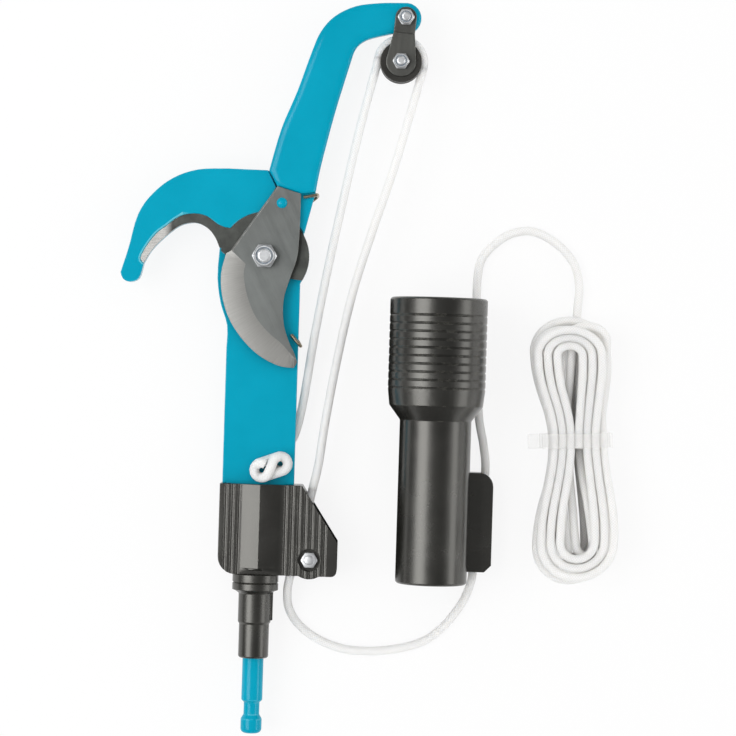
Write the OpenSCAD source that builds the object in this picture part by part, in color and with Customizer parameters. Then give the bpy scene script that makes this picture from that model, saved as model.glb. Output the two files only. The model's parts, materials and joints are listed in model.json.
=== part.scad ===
// Rope-operated tree pruner head with its rope and pull grip, lying flat.
// Millimetres. The origin is on the pole tang's axis, where the tang leaves its black sleeve.
// +Y runs up the head towards the pulley, +Z is the face with the blade.

/* [Frame] */
// Distance from the tang shoulder to the blade pivot
pivot_y = 218; // [208:1:230]
// Distance from the pivot to the hook's outer side
hook_reach = 78; // [75:0.5:82]
// Thickness of the frame plate
frame_t = 5; // [4:0.25:6]
// Width of the frame's straight bar
bar_w = 39; // [37:0.5:40]
// Height of the hook's front above the plate, and thickness of the counter blade set in it
hook_rise = 3; // [2.5:0.25:4]
// Radius of the counter blade's disc round the pivot
disc_r = 24; // [23:0.25:24.5]
// Height of the rope hole above the tang shoulder
rope_hole_y = 104; // [100:1:110]

/* [Blade and lever] */
// Thickness of the blade
blade_t = 3; // [2:0.25:4]
// Thickness left at the cutting edge
edge_t = 0.4; // [0.2:0.1:0.8]
// Distance from the pivot to the arm's bolt, across the head
arm_reach = 72.5; // [71:0.5:75]
// Distance from the pivot to the arm's bolt, along the head
arm_rise = 131; // [129:0.5:135]
// Thickness of the lever arm
arm_t = 6.4; // [6.2:0.1:8]
// Diameter of the rivet that joins blade and arm
rivet_d = 4; // [3:0.25:5]
// Diameter of the rivet's domed head
rivet_head_d = 6; // [5.5:0.25:8]
// Height of the rivet's domed head
rivet_head_h = 1.6; // [1:0.1:2.5]

/* [Pivot and spring] */
// Diameter of the pivot bolt
pivot_d = 8; // [6:0.5:8.5]
// Outside diameter of the bearing bush in the blade
bush_d = 10.4; // [10:0.1:11]
// Width across the pivot nut's flats
pivot_nut_af = 12; // [12:0.25:14]
// Height of the pivot nut
pivot_nut_h = 6; // [4:0.25:8]
// Diameter of the pivot bolt's low head
pivot_head_d = 16; // [14:0.5:20]
// Height of the pivot bolt's low head
pivot_head_h = 3; // [2:0.25:3.5]
// Outside diameter of the washer behind the spring
washer_d = 22; // [20:0.5:26]
// Thickness of that washer
washer_t = 1; // [0.8:0.1:1.2]
// Outside diameter of the spool inside the spring
spool_d = 14; // [12:0.5:15]
// Wire diameter of the return spring
wire_d = 1.8; // [1.4:0.1:1.9]

/* [Pulley block] */
// Distance from the arm's bolt to the pulley's axle
block_len = 24; // [23.6:0.1:26]
// Width of the straps at the arm's bolt
strap_w = 11.5; // [10:0.25:13]
// Thickness of the straps
strap_t = 1.6; // [1.2:0.1:2]
// Diameter of the pulley over its flanges
pulley_d = 22.4; // [21:0.1:22.8]
// Width of the pulley
pulley_w = 9; // [8:0.25:10]
// Depth of the pulley's groove
groove_depth = 1.4; // [1.2:0.1:1.8]
// Diameter of the arm's bolt, the pulley axle and the roller's screw
small_bolt_d = 5; // [4:0.25:5.5]
// Width across the flats of the small nuts
small_nut_af = 8; // [7.5:0.25:9]
// Height of the small nuts
small_nut_h = 4; // [3:0.25:4.5]
// Diameter of the small bolts' heads
small_head_d = 9.4; // [8.5:0.1:10]
// Height of the small bolts' heads
small_head_h = 2.6; // [2:0.1:3]

/* [Adapter] */
// Height of the adapter's lower face above the tang shoulder
adapter_y = 45.5; // [44:0.5:47]
// Height of the adapter
adapter_h = 49; // [47:0.5:52]
// Distance from the tang axis to the adapter's left face
adapter_left = 20.5; // [20.5:0.25:23]
// Distance from the tang axis to the fin's outer face
fin_reach = 44; // [42:0.5:48]
// Height of the fin's outer face
fin_h = 18.5; // [17:0.5:22]
// Height of the flat front above the tang axis
flank_h = 8; // [8:0.25:9]
// Height of the central ridge above the flat front
ridge_h = 4; // [3.5:0.25:5]
// Depth of the flat back below the tang axis, which is also how high the axis lies above the table
rest_depth = 14; // [13.5:0.25:14.5]
// Pitch of the moulded grooves
rib_pitch = 3.6; // [3.2:0.1:4.4]
// Diameter of the guide roller
roller_d = 12; // [11:0.25:13]
// Width of the guide roller
roller_w = 8; // [7:0.25:8.5]
// Diameter of the two screws that close the adapter
case_screw_d = 4; // [3:0.25:4.5]

/* [Pole tang] */
// Diameter of the tang
tang_d = 11.5; // [10:0.25:12]
// Length of the tang from its shoulder to the knob's end
tang_len = 41; // [40:1:50]
// Length of the plain part of the tang
tang_plain = 23; // [20:1:28]
// Diameter of the neck
neck_d = 8.6; // [7:0.2:9.6]
// Length of the neck
neck_len = 9; // [7:0.5:11]
// Diameter of the tang's shank inside the sleeve
shank_d = 12.2; // [12.1:0.1:13]
// Diameter of the sleeve's lower part
spigot_d = 16.4; // [15.6:0.2:17.4]
// Diameter of the sleeve's upper part
spigot_upper_d = 17.8; // [17.6:0.2:19]
// Diameter of the collar
collar_d = 25; // [23:0.25:25.5]

/* [Rope] */
// Diameter of the rope
rope_d = 4.8; // [4:0.1:4.9]
// Clearance round the rope in its holes and grooves
rope_gap = 0.3; // [0.2:0.05:0.5]

/* [Pull grip] */
// Place of the grip's axis to the right of the tang axis
grip_x = 95; // [94:0.5:98]
// Height of the grip's lower rim above the tang shoulder
grip_y = 44; // [44:0.5:48]
// Length of the grip
grip_len = 154; // [145:1:170]
// Outside diameter of the wide mouth
mouth_d = 52.6; // [51:0.2:54]
// Length of the wide mouth
mouth_len = 58; // [55:1:64]
// Length of the cone below the mouth
cone_len = 8; // [6:0.5:10]
// Outside diameter of the tube
tube_d = 38.6; // [37:0.2:40]
// Diameter of the bore that slides on the pole
pole_bore_d = 33; // [30:0.25:34]
// Wall of the wide mouth
mouth_wall = 2.7; // [2:0.1:4]
// Number of grooves round the mouth
grip_grooves = 10; // [6:1:12]
// Depth of the grooves
grip_groove_depth = 0.4; // [0.3:0.1:1]
// Reach of the fin beyond the tube
grip_fin_reach = 13.5; // [12:0.5:16]
// Length of the fin
grip_fin_len = 54; // [48:1:60]
// Height of the fin's lower end above the grip's lower rim
grip_fin_lift = 6; // [2:0.5:6]
// Height of the fin
grip_fin_h = 15; // [13:0.5:17]

/* [Hank] */
// Length of the hank
hank_len = 147; // [140:1:155]
// Width of the hank at its loops
hank_w = 48; // [46:0.5:52]
// Width of the hank at its waist
hank_waist = 35.2; // [35:0.2:38]
// Layers of loops
hank_layers = 4; // [2, 4]
// Width of the tie's band
tie_w = 8; // [6:0.5:12]
// Thickness of the tie's band
tie_t = 1.2; // [0.8:0.1:1.6]

/* [Hidden] */
$fn = 64;

teal = [0, 0.56, 0.67];
black = [0.09, 0.09, 0.09];
zinc = [0.75, 0.76, 0.77];
white = [0.93, 0.93, 0.91];

// Clearances: a shaft that turns, a fixed seat, and two faces that pass each other
run_fit = 0.05;
seat_fit = 0.02;
face_gap = 0.2;
// Room round a moving piece
sweep_gap = 0.6;
// Overlap of a cutting solid past the face that it cuts
past = 1;
// Length of thread that shows past a nut
thread_past = 0.8;

// Levels above the frame's middle plane
table_z = -rest_depth;
frame_front = frame_t / 2;
frame_back = -frame_t / 2;
counter_front = frame_front + hook_rise;
blade_back = counter_front + face_gap;
blade_front = blade_back + blade_t;
arm_back = frame_front + face_gap;
arm_front = arm_back + arm_t;
pulley_z = (arm_back + arm_front) / 2;

// Stack behind the frame: spool, washer, bolt head
head_top = table_z + pivot_head_h;
washer_top = head_top + washer_t;

pivot = [0, pivot_y];
block_at = pivot + [arm_reach, arm_rise];
block_lean = 4.8;
pulley_at = block_at + block_len * [-sin(block_lean), -cos(block_lean)];
rivet_at = pivot + [8.5, 29];
adapter_top = adapter_y + adapter_h;
roller_x = 29;
roller_lift = 8.7;
roller_at = [roller_x, adapter_y + roller_lift];
rope_hole_x = 7;
rope_hole = [rope_hole_x, rope_hole_y];
rope_r = rope_d / 2;
groove_r = pulley_d / 2 - groove_depth;
wrap_r = groove_r + rope_gap + rope_r;
grip_z = table_z + mouth_d / 2;

// Smooth curve through points, with a given number of steps between neighbours
function curve_at(a, b, c, d, t) =
    0.5 * (2 * b + (c - a) * t + (2 * a - 5 * b + 4 * c - d) * t * t + (3 * b - a - 3 * c + d) * t * t * t);
function smooth(p, steps) = let (last = len(p) - 1) concat(
    [for (i = [0:last - 1], k = [0:steps - 1])
        curve_at(p[max(i - 1, 0)], p[i], p[i + 1], p[min(i + 2, last)], k / steps)],
    [p[last]]
);
function arc(centre, r, from, to, steps) =
    [for (i = [0:steps]) let (a = from + (to - from) * i / steps) centre + r * [cos(a), sin(a)]];
function moved(p, by) = [for (q = p) q + by];
function reversed(p) = [for (i = [len(p) - 1:-1:0]) p[i]];
function beyond(p, by) = let (n = len(p)) [p[n - 1] + by * unit(p[n - 1] - p[n - 2])];

// Closed skin of triangles over a row of rings that have as many points each
function skin_of(rings, sides) = let (last = (rings - 1) * sides) concat(
    [for (i = [0:rings - 2], k = [0:sides - 1])
        let (a = i * sides + k, b = i * sides + (k + 1) % sides)
        each [[a, a + sides, b], [b, a + sides, b + sides]]],
    [for (k = [1:sides - 2]) each [[0, k, k + 1], [last, last + k + 1, last + k]]]
);

// Tube swept along points
function unit(v) = v / norm(v);
function heading(p, i) = unit(p[min(i + 1, len(p) - 1)] - p[max(i - 1, 0)]);
function squared(u, t) = unit(u - (u * t) * t);
function sides_of(p, up) =
    [for (i = 0, u = squared(up, heading(p, 0)); i < len(p);
        u = squared(u, heading(p, min(i + 1, len(p) - 1))), i = i + 1) u];
module tube(p, d, sides, up = [0, 0, 1]) {
    across = sides_of(p, up);
    rings = len(p);
    points = [for (i = [0:rings - 1]) let (t = heading(p, i), u = across[i], v = cross(t, u))
        for (k = [0:sides - 1]) let (a = 360 * k / sides) p[i] + d / 2 * (cos(a) * u + sin(a) * v)];
    polyhedron(points, skin_of(rings, sides));
}

// Least gap of a tube to itself, between stretches that are some rings apart along it
function near_segment(q, a, b) = let (t = max(0, min(1, (q - a) * (b - a) / ((b - a) * (b - a)))))
    norm(q - a - t * (b - a));
function self_gap(p, d, apart) = min([for (i = [0:len(p) - apart - 2])
    min([for (j = [i + apart:len(p) - 2]) near_segment(p[i], p[j], p[j + 1])])]) - d;

module pin(at, d, from, to) {
    translate([at[0], at[1], from]) cylinder(d = d, h = to - from);
}

module hex(at, af, from, to) {
    translate([at[0], at[1], from]) cylinder(d = af / cos(30), h = to - from, $fn = 6);
}

module plate(outline, from, to) {
    translate([0, 0, from]) linear_extrude(to - from) polygon(outline);
}

// Outlines of the cutting head, from the pivot
hook_outer = moved(smooth([
    [-hook_reach, -11], [4 - hook_reach, 2.5], [8.5 - hook_reach, 20.5], [16 - hook_reach, 32],
    [27 - hook_reach, 41], [-37.5, 46], [-21, 47]
], 4), pivot);
hook_top = moved([[0.4, 46.7]], pivot);
hook_tip = moved(smooth([
    [12.5 - hook_reach, -5.5], [11 - hook_reach, -12], [9 - hook_reach, -15], [5 - hook_reach, -16],
    [1.5 - hook_reach, -14.5], [-hook_reach, -11]
], 2), pivot);
cutting_side = moved(smooth([
    [12.5 - hook_reach, -5.5], [16.5 - hook_reach, 1.5], [23.5 - hook_reach, 9], [31 - hook_reach, 15],
    [-40.5, 17], [-35.5, 16.5], [-30.5, 13.5], [-27, 9], [-24.8, 4]
], 3), pivot);
seat_side = moved(smooth([
    [12.5 - hook_reach, -5.5], [10.7 - hook_reach, -2.9], [13.6 - hook_reach, 3.3], [18.7 - hook_reach, 10.4],
    [24 - hook_reach, 14.7], [31 - hook_reach, 20], [-39, 22], [-32, 20.7], [-26.2, 16.7], [-22, 15]
], 3), pivot);
bar_left = smooth([
    cutting_side[len(cutting_side) - 1], pivot + [-25.5, -12], pivot + [-23.4, -26],
    [-bar_w / 2, pivot_y - 38], [-bar_w / 2, pivot_y - 50]
], 3);
lobe_turn = acos(bar_w / 2 / disc_r);
lobe_right = arc(pivot, disc_r, 30, -lobe_turn, 8);
// The plate goes on behind the arm's foot, so that no light shows between them
under_arm = moved([[4, 46.2], [19.4, 24], [20.6, 13.6]], pivot);

// The tongue inside the adapter and the stub that the tang forks over
tongue_w = 30;
tongue_lift = 20.5;
tongue_y = adapter_y + tongue_lift;
stub_w = 11;
stub_len = 13;
stub_y = tongue_y - stub_len;
fork_d = 15;
fork_lift = 6;
fork_len = 12;
fork_y = adapter_y + fork_lift;
fork_top = fork_y + fork_len;
tang_pin_d = 4;
pin_y = (stub_y + fork_top) / 2;
case_screws = [[-10, adapter_top - 7], [9, adapter_top - 21]];
tongue = [
    [bar_w / 2, adapter_top], [tongue_w / 2, adapter_top], [tongue_w / 2, tongue_y], [stub_w / 2, tongue_y],
    [stub_w / 2, stub_y], [-stub_w / 2, stub_y], [-stub_w / 2, tongue_y],
    [-tongue_w / 2, tongue_y], [-tongue_w / 2, adapter_top], [-bar_w / 2, adapter_top]
];

module frame() {
    base = concat(
        hook_outer, hook_top, under_arm, lobe_right, tongue, reversed(bar_left), reversed(cutting_side), hook_tip
    );
    raised = concat(
        hook_outer, hook_top, moved([[5, 37.5], [-3, 22], [-14, 14]], pivot), reversed(seat_side), hook_tip
    );
    color(teal) difference() {
        union() {
            plate(base, frame_back, frame_front);
            difference() {
                plate(raised, frame_front, counter_front);
                pin(pivot, 2 * (disc_r + seat_fit), frame_front - past, counter_front + past);
            }
        }
        pin(pivot, pivot_d + 2 * seat_fit, frame_back - past, frame_front + past);
        pin(rope_hole, rope_d + 2 * rope_gap, frame_back - past, frame_front + past);
        pin([0, pin_y], tang_pin_d + 2 * seat_fit, frame_back - past, frame_front + past);
        for (at = case_screws) pin(at, case_screw_d + 2 * seat_fit, frame_back - past, frame_front + past);
    }
}

// Cut below the pivot, where the counter blade's disc ends and the bar shows
disc_cut = moved([[-25.5, 3.4], [-12, -7], [0, -10], [26, -13.2], [26, -30], [-30, -30]], pivot);
module counter_blade() {
    strip = concat(cutting_side, moved([[-14, 2], [-14, 14]], pivot), reversed(seat_side));
    color([0.3, 0.28, 0.25]) difference() {
        union() {
            plate(strip, frame_front, counter_front);
            pin(pivot, 2 * disc_r, frame_front, counter_front);
        }
        plate(disc_cut, frame_front - past, counter_front + past);
        pin(pivot, pivot_d + 2 * seat_fit, frame_front - past, counter_front + past);
    }
}

// The blade: a plate, ground on its front to a bevel that thins to the cutting edge
bevel_steps = 4;
bevel_run_out = 4;
bevel_lead = 0.4;
heel_rise = 0.7;
edge_line = moved(smooth([
    [-21, 1], [-23.4, -10], [-22.5, -22], [-18.5, -34], [-11.5, -44.5], [-2, -53.5], [9, -59], [17.5, -60]
], bevel_steps), pivot);
bevel_line = moved(smooth([
    [-10.2, -4.9], [-11, -9.6], [-10.2, -16], [-8, -24], [-3.8, -33], [3, -41], [11, -47.5], [17.6, -55]
], bevel_steps), pivot);
blade_back_edge = moved(smooth([
    [19.2, -57], [17.5, -52], [14.3, -45.5], [11.6, -37.5], [10.7, -29], [11.3, -21], [14.2, -11],
    [17.4, -1], [18.2, 8], [18.5, 20]
], 3), pivot);
tang_top = moved([[18.6, 34.2], [5.7, 38]], pivot);
heel = moved([[-18.6, 2.4]], pivot);

// Solid that is ground off: its lower face falls from the bevel's line to the cutting edge, from the heel on
module bevel_cut() {
    start = bevel_line[0] + bevel_lead * unit(bevel_line[0] - bevel_line[1]);
    top = concat([start], bevel_line, beyond(bevel_line, bevel_run_out));
    edge = concat(
        beyond([start, heel[0] + [0, heel_rise]], bevel_run_out), edge_line, beyond(edge_line, bevel_run_out)
    );
    points = [for (i = [0:len(top) - 1])
        let (out = past * unit(edge[i] - top[i]), fall = past * (blade_t - edge_t) / norm(edge[i] - top[i]))
        let (inner = top[i] - out, outer = edge[i] + out)
        each [
            [outer[0], outer[1], blade_front + past], [outer[0], outer[1], blade_back + edge_t - fall],
            [inner[0], inner[1], blade_front + fall], [inner[0], inner[1], blade_front + past]
        ]];
    polyhedron(points, skin_of(len(top), 4));
}

module blade() {
    outline = concat(blade_back_edge, tang_top, heel, edge_line);
    color([0.42, 0.44, 0.42]) difference() {
        plate(outline, blade_back, blade_front);
        bevel_cut();
        pin(pivot, bush_d + 2 * run_fit, blade_back - past, blade_front + past);
        pin(rivet_at, rivet_d + 2 * seat_fit, blade_back - past, blade_front + past);
    }
}

// The arm: a thick bar, and a thinner foot that lies behind the blade's tang
arm_end_r = 8.4;
arm_outer = moved(smooth([
    [1, 46.5], [7, 69.5], [15, 90], [22, arm_rise - 20], [26.7, arm_rise - 8.5],
    [arm_reach - 38.5, arm_rise], [arm_reach - 27.5, arm_rise + 5.7], [arm_reach - 14.5, arm_rise + 7.8],
    [arm_reach - 2.5, arm_rise + 8.3]
], 4), pivot);
arm_inner = moved(smooth([
    [arm_reach - 7, arm_rise - 8.5], [arm_reach - 15.5, arm_rise - 10.6], [arm_reach - 22, arm_rise - 13],
    [45.8, arm_rise - 17.5], [42.8, arm_rise - 26.5], [35.5, 78], [29, 50], [26.5, 35.5]
], 4), pivot);

module lever_arm() {
    bar = concat(arm_outer, arc(block_at, arm_end_r, 85, -70, 10), arm_inner, tang_top);
    foot = moved([[6.4, 38.4], [26.5, 35.5], [20.8, 12], [0, 20]], pivot);
    color(teal) difference() {
        union() {
            plate(bar, arm_back, arm_front);
            difference() {
                plate(foot, arm_back, blade_back);
                pin(pivot, 2 * (disc_r + sweep_gap), arm_back - past, blade_back + past);
            }
        }
        pin(block_at, small_bolt_d + 2 * seat_fit, arm_back - past, arm_front + past);
        pin(rivet_at, rivet_d + 2 * seat_fit, arm_back - past, blade_back + past);
    }
}

// A dome is part of a ball cut off at the head's seat
module lever_rivet() {
    ball_r = (pow(rivet_head_d / 2, 2) + pow(rivet_head_h, 2)) / (2 * rivet_head_h);
    color(teal) union() {
        pin(rivet_at, rivet_d, arm_back, blade_front + rivet_head_h / 2);
        intersection() {
            translate([rivet_at[0], rivet_at[1], blade_front + rivet_head_h - ball_r]) sphere(r = ball_r);
            pin(rivet_at, rivet_head_d + past, blade_front, blade_front + rivet_head_h + past);
        }
    }
}

bush_top = blade_front + face_gap;
bolt_end = bush_top + pivot_nut_h + thread_past;

module pivot_bolt() {
    color(zinc) union() {
        pin(pivot, pivot_head_d, table_z, head_top);
        pin(pivot, pivot_d, table_z, bolt_end);
    }
}

module pivot_nut() {
    color(zinc) difference() {
        hex(pivot, pivot_nut_af, bush_top, bush_top + pivot_nut_h);
        pin(pivot, pivot_d + 2 * seat_fit, bush_top - past, bolt_end + past);
    }
}

module ring(at, outer, inner, from, to) {
    difference() {
        pin(at, outer, from, to);
        pin(at, inner, from - past, to + past);
    }
}

module pivot_bush() {
    color(zinc) ring(pivot, bush_d, pivot_d + 2 * seat_fit, counter_front, bush_top);
}

module pivot_washer() {
    color(zinc) ring(pivot, washer_d, pivot_d + 2 * seat_fit, head_top, washer_top);
}

module spring_spool() {
    color(black) ring(pivot, spool_d, pivot_d + 2 * seat_fit, washer_top, frame_back);
}

// The spring: a leg hooked round the bar, the coil, and a leg hooked round the arm
wire_gap = 0.3;
coil_r = spool_d / 2 + wire_gap + wire_d / 2;
coil_top = frame_back - wire_gap - wire_d / 2;
coil_bottom = washer_top + wire_gap + wire_d / 2;
bar_hook_drop = 48;
arm_hook_edge = [26.2, 34.1];
bar_hook = [bar_w / 2 + wire_gap + wire_d / 2, -bar_hook_drop];
arm_hook = arm_hook_edge + [wire_gap + wire_d / 2, 0];
bar_leg_turn = atan2(bar_hook[1], bar_hook[0]) - acos(coil_r / norm(bar_hook)) + 360;
arm_leg_turn = atan2(arm_hook[1], arm_hook[0]) + acos(coil_r / norm(arm_hook));
whole_turns = 2;
curl_rings = 8;
coil_turns = whole_turns + (bar_leg_turn - arm_leg_turn) / 360;
coil_rings = curl_rings * ceil(coil_turns);
// A hook's bend, how much of it the middle point takes, its fold, and where it ends on the face
hook_bend = 2;
bend_share = 0.3;
hook_fold = 0.8;
bar_hook_end = bar_hook + [-5.2, 6];
arm_hook_end = arm_hook + [-7.3, -1.6];
function hook_points(at, level, top, toward, end) =
    let (back = hook_bend * unit(toward - at), over = at + hook_fold * unit(end - at)) [
    [end[0], end[1], top], [over[0], over[1], top], [at[0], at[1], top - hook_fold],
    [at[0], at[1], level + hook_bend],
    [at[0] + bend_share * back[0], at[1] + bend_share * back[1], level + bend_share * hook_bend],
    [at[0] + back[0], at[1] + back[1], level]
];
bar_touch = coil_r * [cos(bar_leg_turn), sin(bar_leg_turn)];
arm_touch = coil_r * [cos(arm_leg_turn), sin(arm_leg_turn)];
spring_path = moved(concat(
    hook_points(bar_hook, coil_top, frame_front + wire_gap + wire_d / 2, bar_touch, bar_hook_end),
    [for (i = [0:coil_rings]) let (a = bar_leg_turn - 360 * coil_turns * i / coil_rings)
        [coil_r * cos(a), coil_r * sin(a), coil_top + (coil_bottom - coil_top) * i / coil_rings]],
    reversed(hook_points(arm_hook, coil_bottom, blade_back + wire_gap + wire_d / 2, arm_touch, arm_hook_end))
), [0, pivot_y, 0]);
echo(spring_least_gap = self_gap(spring_path, wire_d, 5));

module torsion_spring() {
    color([0.62, 0.53, 0.33]) tube(spring_path, wire_d, 6, up = [1, 0, 0]);
}

// The block: two straps on the arm's bolt, set wider round the pulley
strap_in = arm_t / 2 + face_gap;
cheek_in = pulley_w / 2 + face_gap;
joggle_y = -8.6;
joggle_t = 2.4;
flange_show = 3.1;
cheek_r = pulley_d / 2 - flange_show;
// The strap's sides run from the joggle to the round end and just touch it
cheek_reach = norm([strap_w / 2, block_len + joggle_y]);
cheek_turn = atan2(block_len + joggle_y, strap_w / 2) - acos(cheek_r / cheek_reach);
cheek_bite = 0.02;
cheek_side = (cheek_r - cheek_bite) * [cos(cheek_turn), sin(cheek_turn)] - [0, block_len];
cheek_outline = [
    [-strap_w / 2, joggle_y], [-cheek_side[0], cheek_side[1]], cheek_side, [strap_w / 2, joggle_y]
];
module in_block() {
    translate([block_at[0], block_at[1], pulley_z]) rotate(-block_lean) children();
}

// One strap, drawn on the front, with its holes
module strap() {
    in_block() difference() {
        union() {
            pin([0, 0], strap_w, strap_in, strap_in + strap_t);
            translate([-strap_w / 2, joggle_y, strap_in]) cube([strap_w, -joggle_y, strap_t]);
            translate([-strap_w / 2, joggle_y - joggle_t, strap_in])
                cube([strap_w, joggle_t, cheek_in + strap_t - strap_in]);
            plate(cheek_outline, cheek_in, cheek_in + strap_t);
            pin([0, -block_len], 2 * cheek_r, cheek_in, cheek_in + strap_t);
        }
        pin([0, 0], small_bolt_d + 2 * run_fit, 0, cheek_in + strap_t + past);
        pin([0, -block_len], small_bolt_d + 2 * seat_fit, 0, cheek_in + strap_t + past);
    }
}

module other_side() {
    translate([0, 0, 2 * pulley_z]) mirror([0, 0, 1]) children();
}

module block_front_plate() {
    color(zinc) strap();
}

module block_rear_plate() {
    color(zinc) other_side() strap();
}

// A bolt through the block with its head behind, and its nut in front
module cross_bolt(at, half) {
    pin(at, small_head_d, pulley_z - half - small_head_h, pulley_z - half);
    pin(at, small_bolt_d, pulley_z - half - small_head_h / 2, pulley_z + half + small_nut_h + thread_past);
}

module cross_nut(at, half) {
    difference() {
        hex(at, small_nut_af, pulley_z + half, pulley_z + half + small_nut_h);
        pin(at, small_bolt_d + 2 * seat_fit, pulley_z, pulley_z + half + small_nut_h + past);
    }
}

strap_out = strap_in + strap_t + face_gap;
cheek_out = cheek_in + strap_t;

module block_bolt() {
    color(zinc) union() cross_bolt(block_at, strap_out);
}

module block_nut() {
    color(zinc) cross_nut(block_at, strap_out);
}

module pulley_axle() {
    color(zinc) union() cross_bolt(pulley_at, cheek_out);
}

module pulley_axle_nut() {
    color(zinc) cross_nut(pulley_at, cheek_out);
}

// A grooved wheel about its own axis: flanges, and a groove shaped for the rope
module sheave(d, w, bore_d, depth) {
    groove_half = rope_r + rope_gap;
    rotate_extrude() polygon([
        [bore_d / 2, -w / 2], [d / 2, -w / 2], [d / 2, -groove_half], [d / 2 - depth, -groove_half / 2],
        [d / 2 - depth, groove_half / 2], [d / 2, groove_half], [d / 2, w / 2], [bore_d / 2, w / 2]
    ]);
}

module pulley() {
    color(black) translate([pulley_at[0], pulley_at[1], pulley_z])
        sheave(pulley_d, pulley_w, small_bolt_d + 2 * run_fit, groove_depth);
}

roller_depth = 1.2;
module guide_roller() {
    color([0.8, 0.8, 0.78]) translate([roller_at[0], roller_at[1], 0])
        sheave(roller_d, roller_w, small_bolt_d + 2 * run_fit, roller_depth);
}

// The adapter: two moulded halves that meet on the tang's axis
shell_corner = 9.5;
fin_corner = 3;
fin_top_x = 24;
boss_r = 10.3;
shell_outline = concat(
    [[fin_top_x, adapter_top], [-adapter_left, adapter_top]],
    arc([shell_corner - adapter_left, adapter_y + shell_corner], shell_corner, 180, 270, 6),
    arc([fin_reach - fin_corner, adapter_y + fin_corner], fin_corner, -90, 0, 4),
    [[fin_reach, adapter_y + fin_h]]
);
ridge_x = 1.6;
ridge_half = 9.7;
ridge_end = 3.4;
rib_r = 1.2;
rib_depth = 0.5;

// Seats of the screws in the adapter
screw_seat_r = 6;
screw_inset = 0.5;
screw_head_z = flank_h - small_head_h - screw_inset;
case_screw_top = 6;
case_head_d = 7.6;
case_head_h = 3;

// Sleeve flange and tang head inside the adapter
neck_in_d = 15;
flange_d = 17.6;
flange_t = 2.5;
shell_floor = 2.5;
flange_y = adapter_y + shell_floor;

// Route of the slack rope: down through the adapter, then over the table to the grip's fin
slack_route = [
    [29.5, 92, 0], [27, 80, 0], [23.5, 66, 0], [21.2, 54, 0], [18.6, 44, -0.4], [17.4, 36, -4.2],
    [18, 28, -9], [21.5, 20.5, -11.4], [28, 14, -11.6], [37.5, 8.5, -11.6], [48.5, 5, -11.6],
    [60, 4, -11.6], [71.5, 4.8, -11.6],
    [84, 7.2, -11.6], [94.5, 11.5, -11.6], [103, 18.5, -11.6], [109.5, 26.5, -11.4], [114.6, 35, -10.6],
    [117.7, 44, -10.2]
];
// The channel for it: how many of the route's points it follows, its room, and where it opens below
channel_points = 5;
channel_room = 0.5;
channel_half = rope_r + rope_gap + channel_room;
channel_exit = [19, adapter_y - 9];
channel_exit_half = 3;

module rope_channel() {
    left = [for (i = [0:channel_points - 1]) [slack_route[i][0] - channel_half, slack_route[i][1]]];
    right = [for (i = [channel_points - 1:-1:0]) [slack_route[i][0] + channel_half, slack_route[i][1]]];
    mouth = [[right[channel_points - 1][0], adapter_top + past], [left[0][0], adapter_top + past]];
    foot = [channel_exit - [channel_exit_half, 0], channel_exit + [channel_exit_half, 0]];
    plate(concat(left, foot, right, mouth), -channel_half, channel_half);
}

module along_y(y, d, len) {
    translate([0, y, 0]) rotate([-90, 0, 0]) cylinder(d = d, h = len);
}

module adapter_inside() {
    half_t = frame_t / 2 + seat_fit;
    translate([-tongue_w / 2 - seat_fit, tongue_y - seat_fit, -half_t])
        cube([tongue_w + 2 * seat_fit, adapter_top - tongue_y + past, 2 * half_t]);
    along_y(fork_y - face_gap, fork_d + 2 * face_gap, tongue_y - fork_y + face_gap + past);
    along_y(adapter_y - past, neck_in_d + 2 * seat_fit, fork_y - adapter_y + past);
    along_y(flange_y, flange_d + 2 * seat_fit, flange_t + seat_fit);
    rope_channel();
    pin(roller_at, roller_d + 2 * sweep_gap, -roller_w / 2 - face_gap, roller_w / 2 + face_gap);
    pin(roller_at, small_bolt_d + 2 * seat_fit, table_z - past, flank_h + ridge_h);
}

module adapter_front_shell() {
    color(black) difference() {
        union() {
            plate(shell_outline, 0, flank_h);
            pin(roller_at, 2 * boss_r, 0, flank_h);
            translate([ridge_x, adapter_top, flank_h]) rotate([90, 0, 0]) linear_extrude(adapter_h - ridge_end)
                polygon([[-ridge_half, 0], [ridge_half, 0], [0, ridge_h]]);
        }
        for (x = [-adapter_left + rib_pitch:rib_pitch:fin_reach - rib_pitch])
            if (abs(x - ridge_x) > ridge_half + rib_r)
                translate([x, roller_at[1] - boss_r - past, flank_h - rib_depth + rib_r]) rotate([-90, 0, 0])
                    cylinder(r = rib_r, h = adapter_h + boss_r + past);
        adapter_inside();
        pin(roller_at, 2 * screw_seat_r, screw_head_z, flank_h + past);
        for (at = case_screws) pin(at, case_screw_d + 2 * seat_fit, -past, case_screw_top);
    }
}

module adapter_rear_shell() {
    color(black) difference() {
        union() {
            plate(shell_outline, table_z, 0);
            pin(roller_at, 2 * boss_r, table_z, 0);
        }
        adapter_inside();
        hex(roller_at, small_nut_af + 2 * face_gap, table_z - past, table_z + small_nut_h + face_gap);
        for (at = case_screws) {
            pin(at, case_screw_d + 2 * seat_fit, table_z - past, past);
            pin(at, case_head_d + 2 * face_gap, table_z - past, table_z + case_head_h + face_gap);
        }
    }
}

module adapter_screws() {
    color(zinc) for (at = case_screws) union() {
        pin(at, case_screw_d, table_z + case_head_h / 2 + face_gap, case_screw_top - face_gap);
        pin(at, case_head_d, table_z + face_gap, table_z + case_head_h + face_gap);
    }
}

module guide_roller_screw() {
    color(zinc) union() {
        hex(roller_at, small_nut_af, screw_head_z, screw_head_z + small_head_h);
        pin(roller_at, small_bolt_d, table_z + face_gap, screw_head_z + small_head_h / 2);
    }
}

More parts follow.
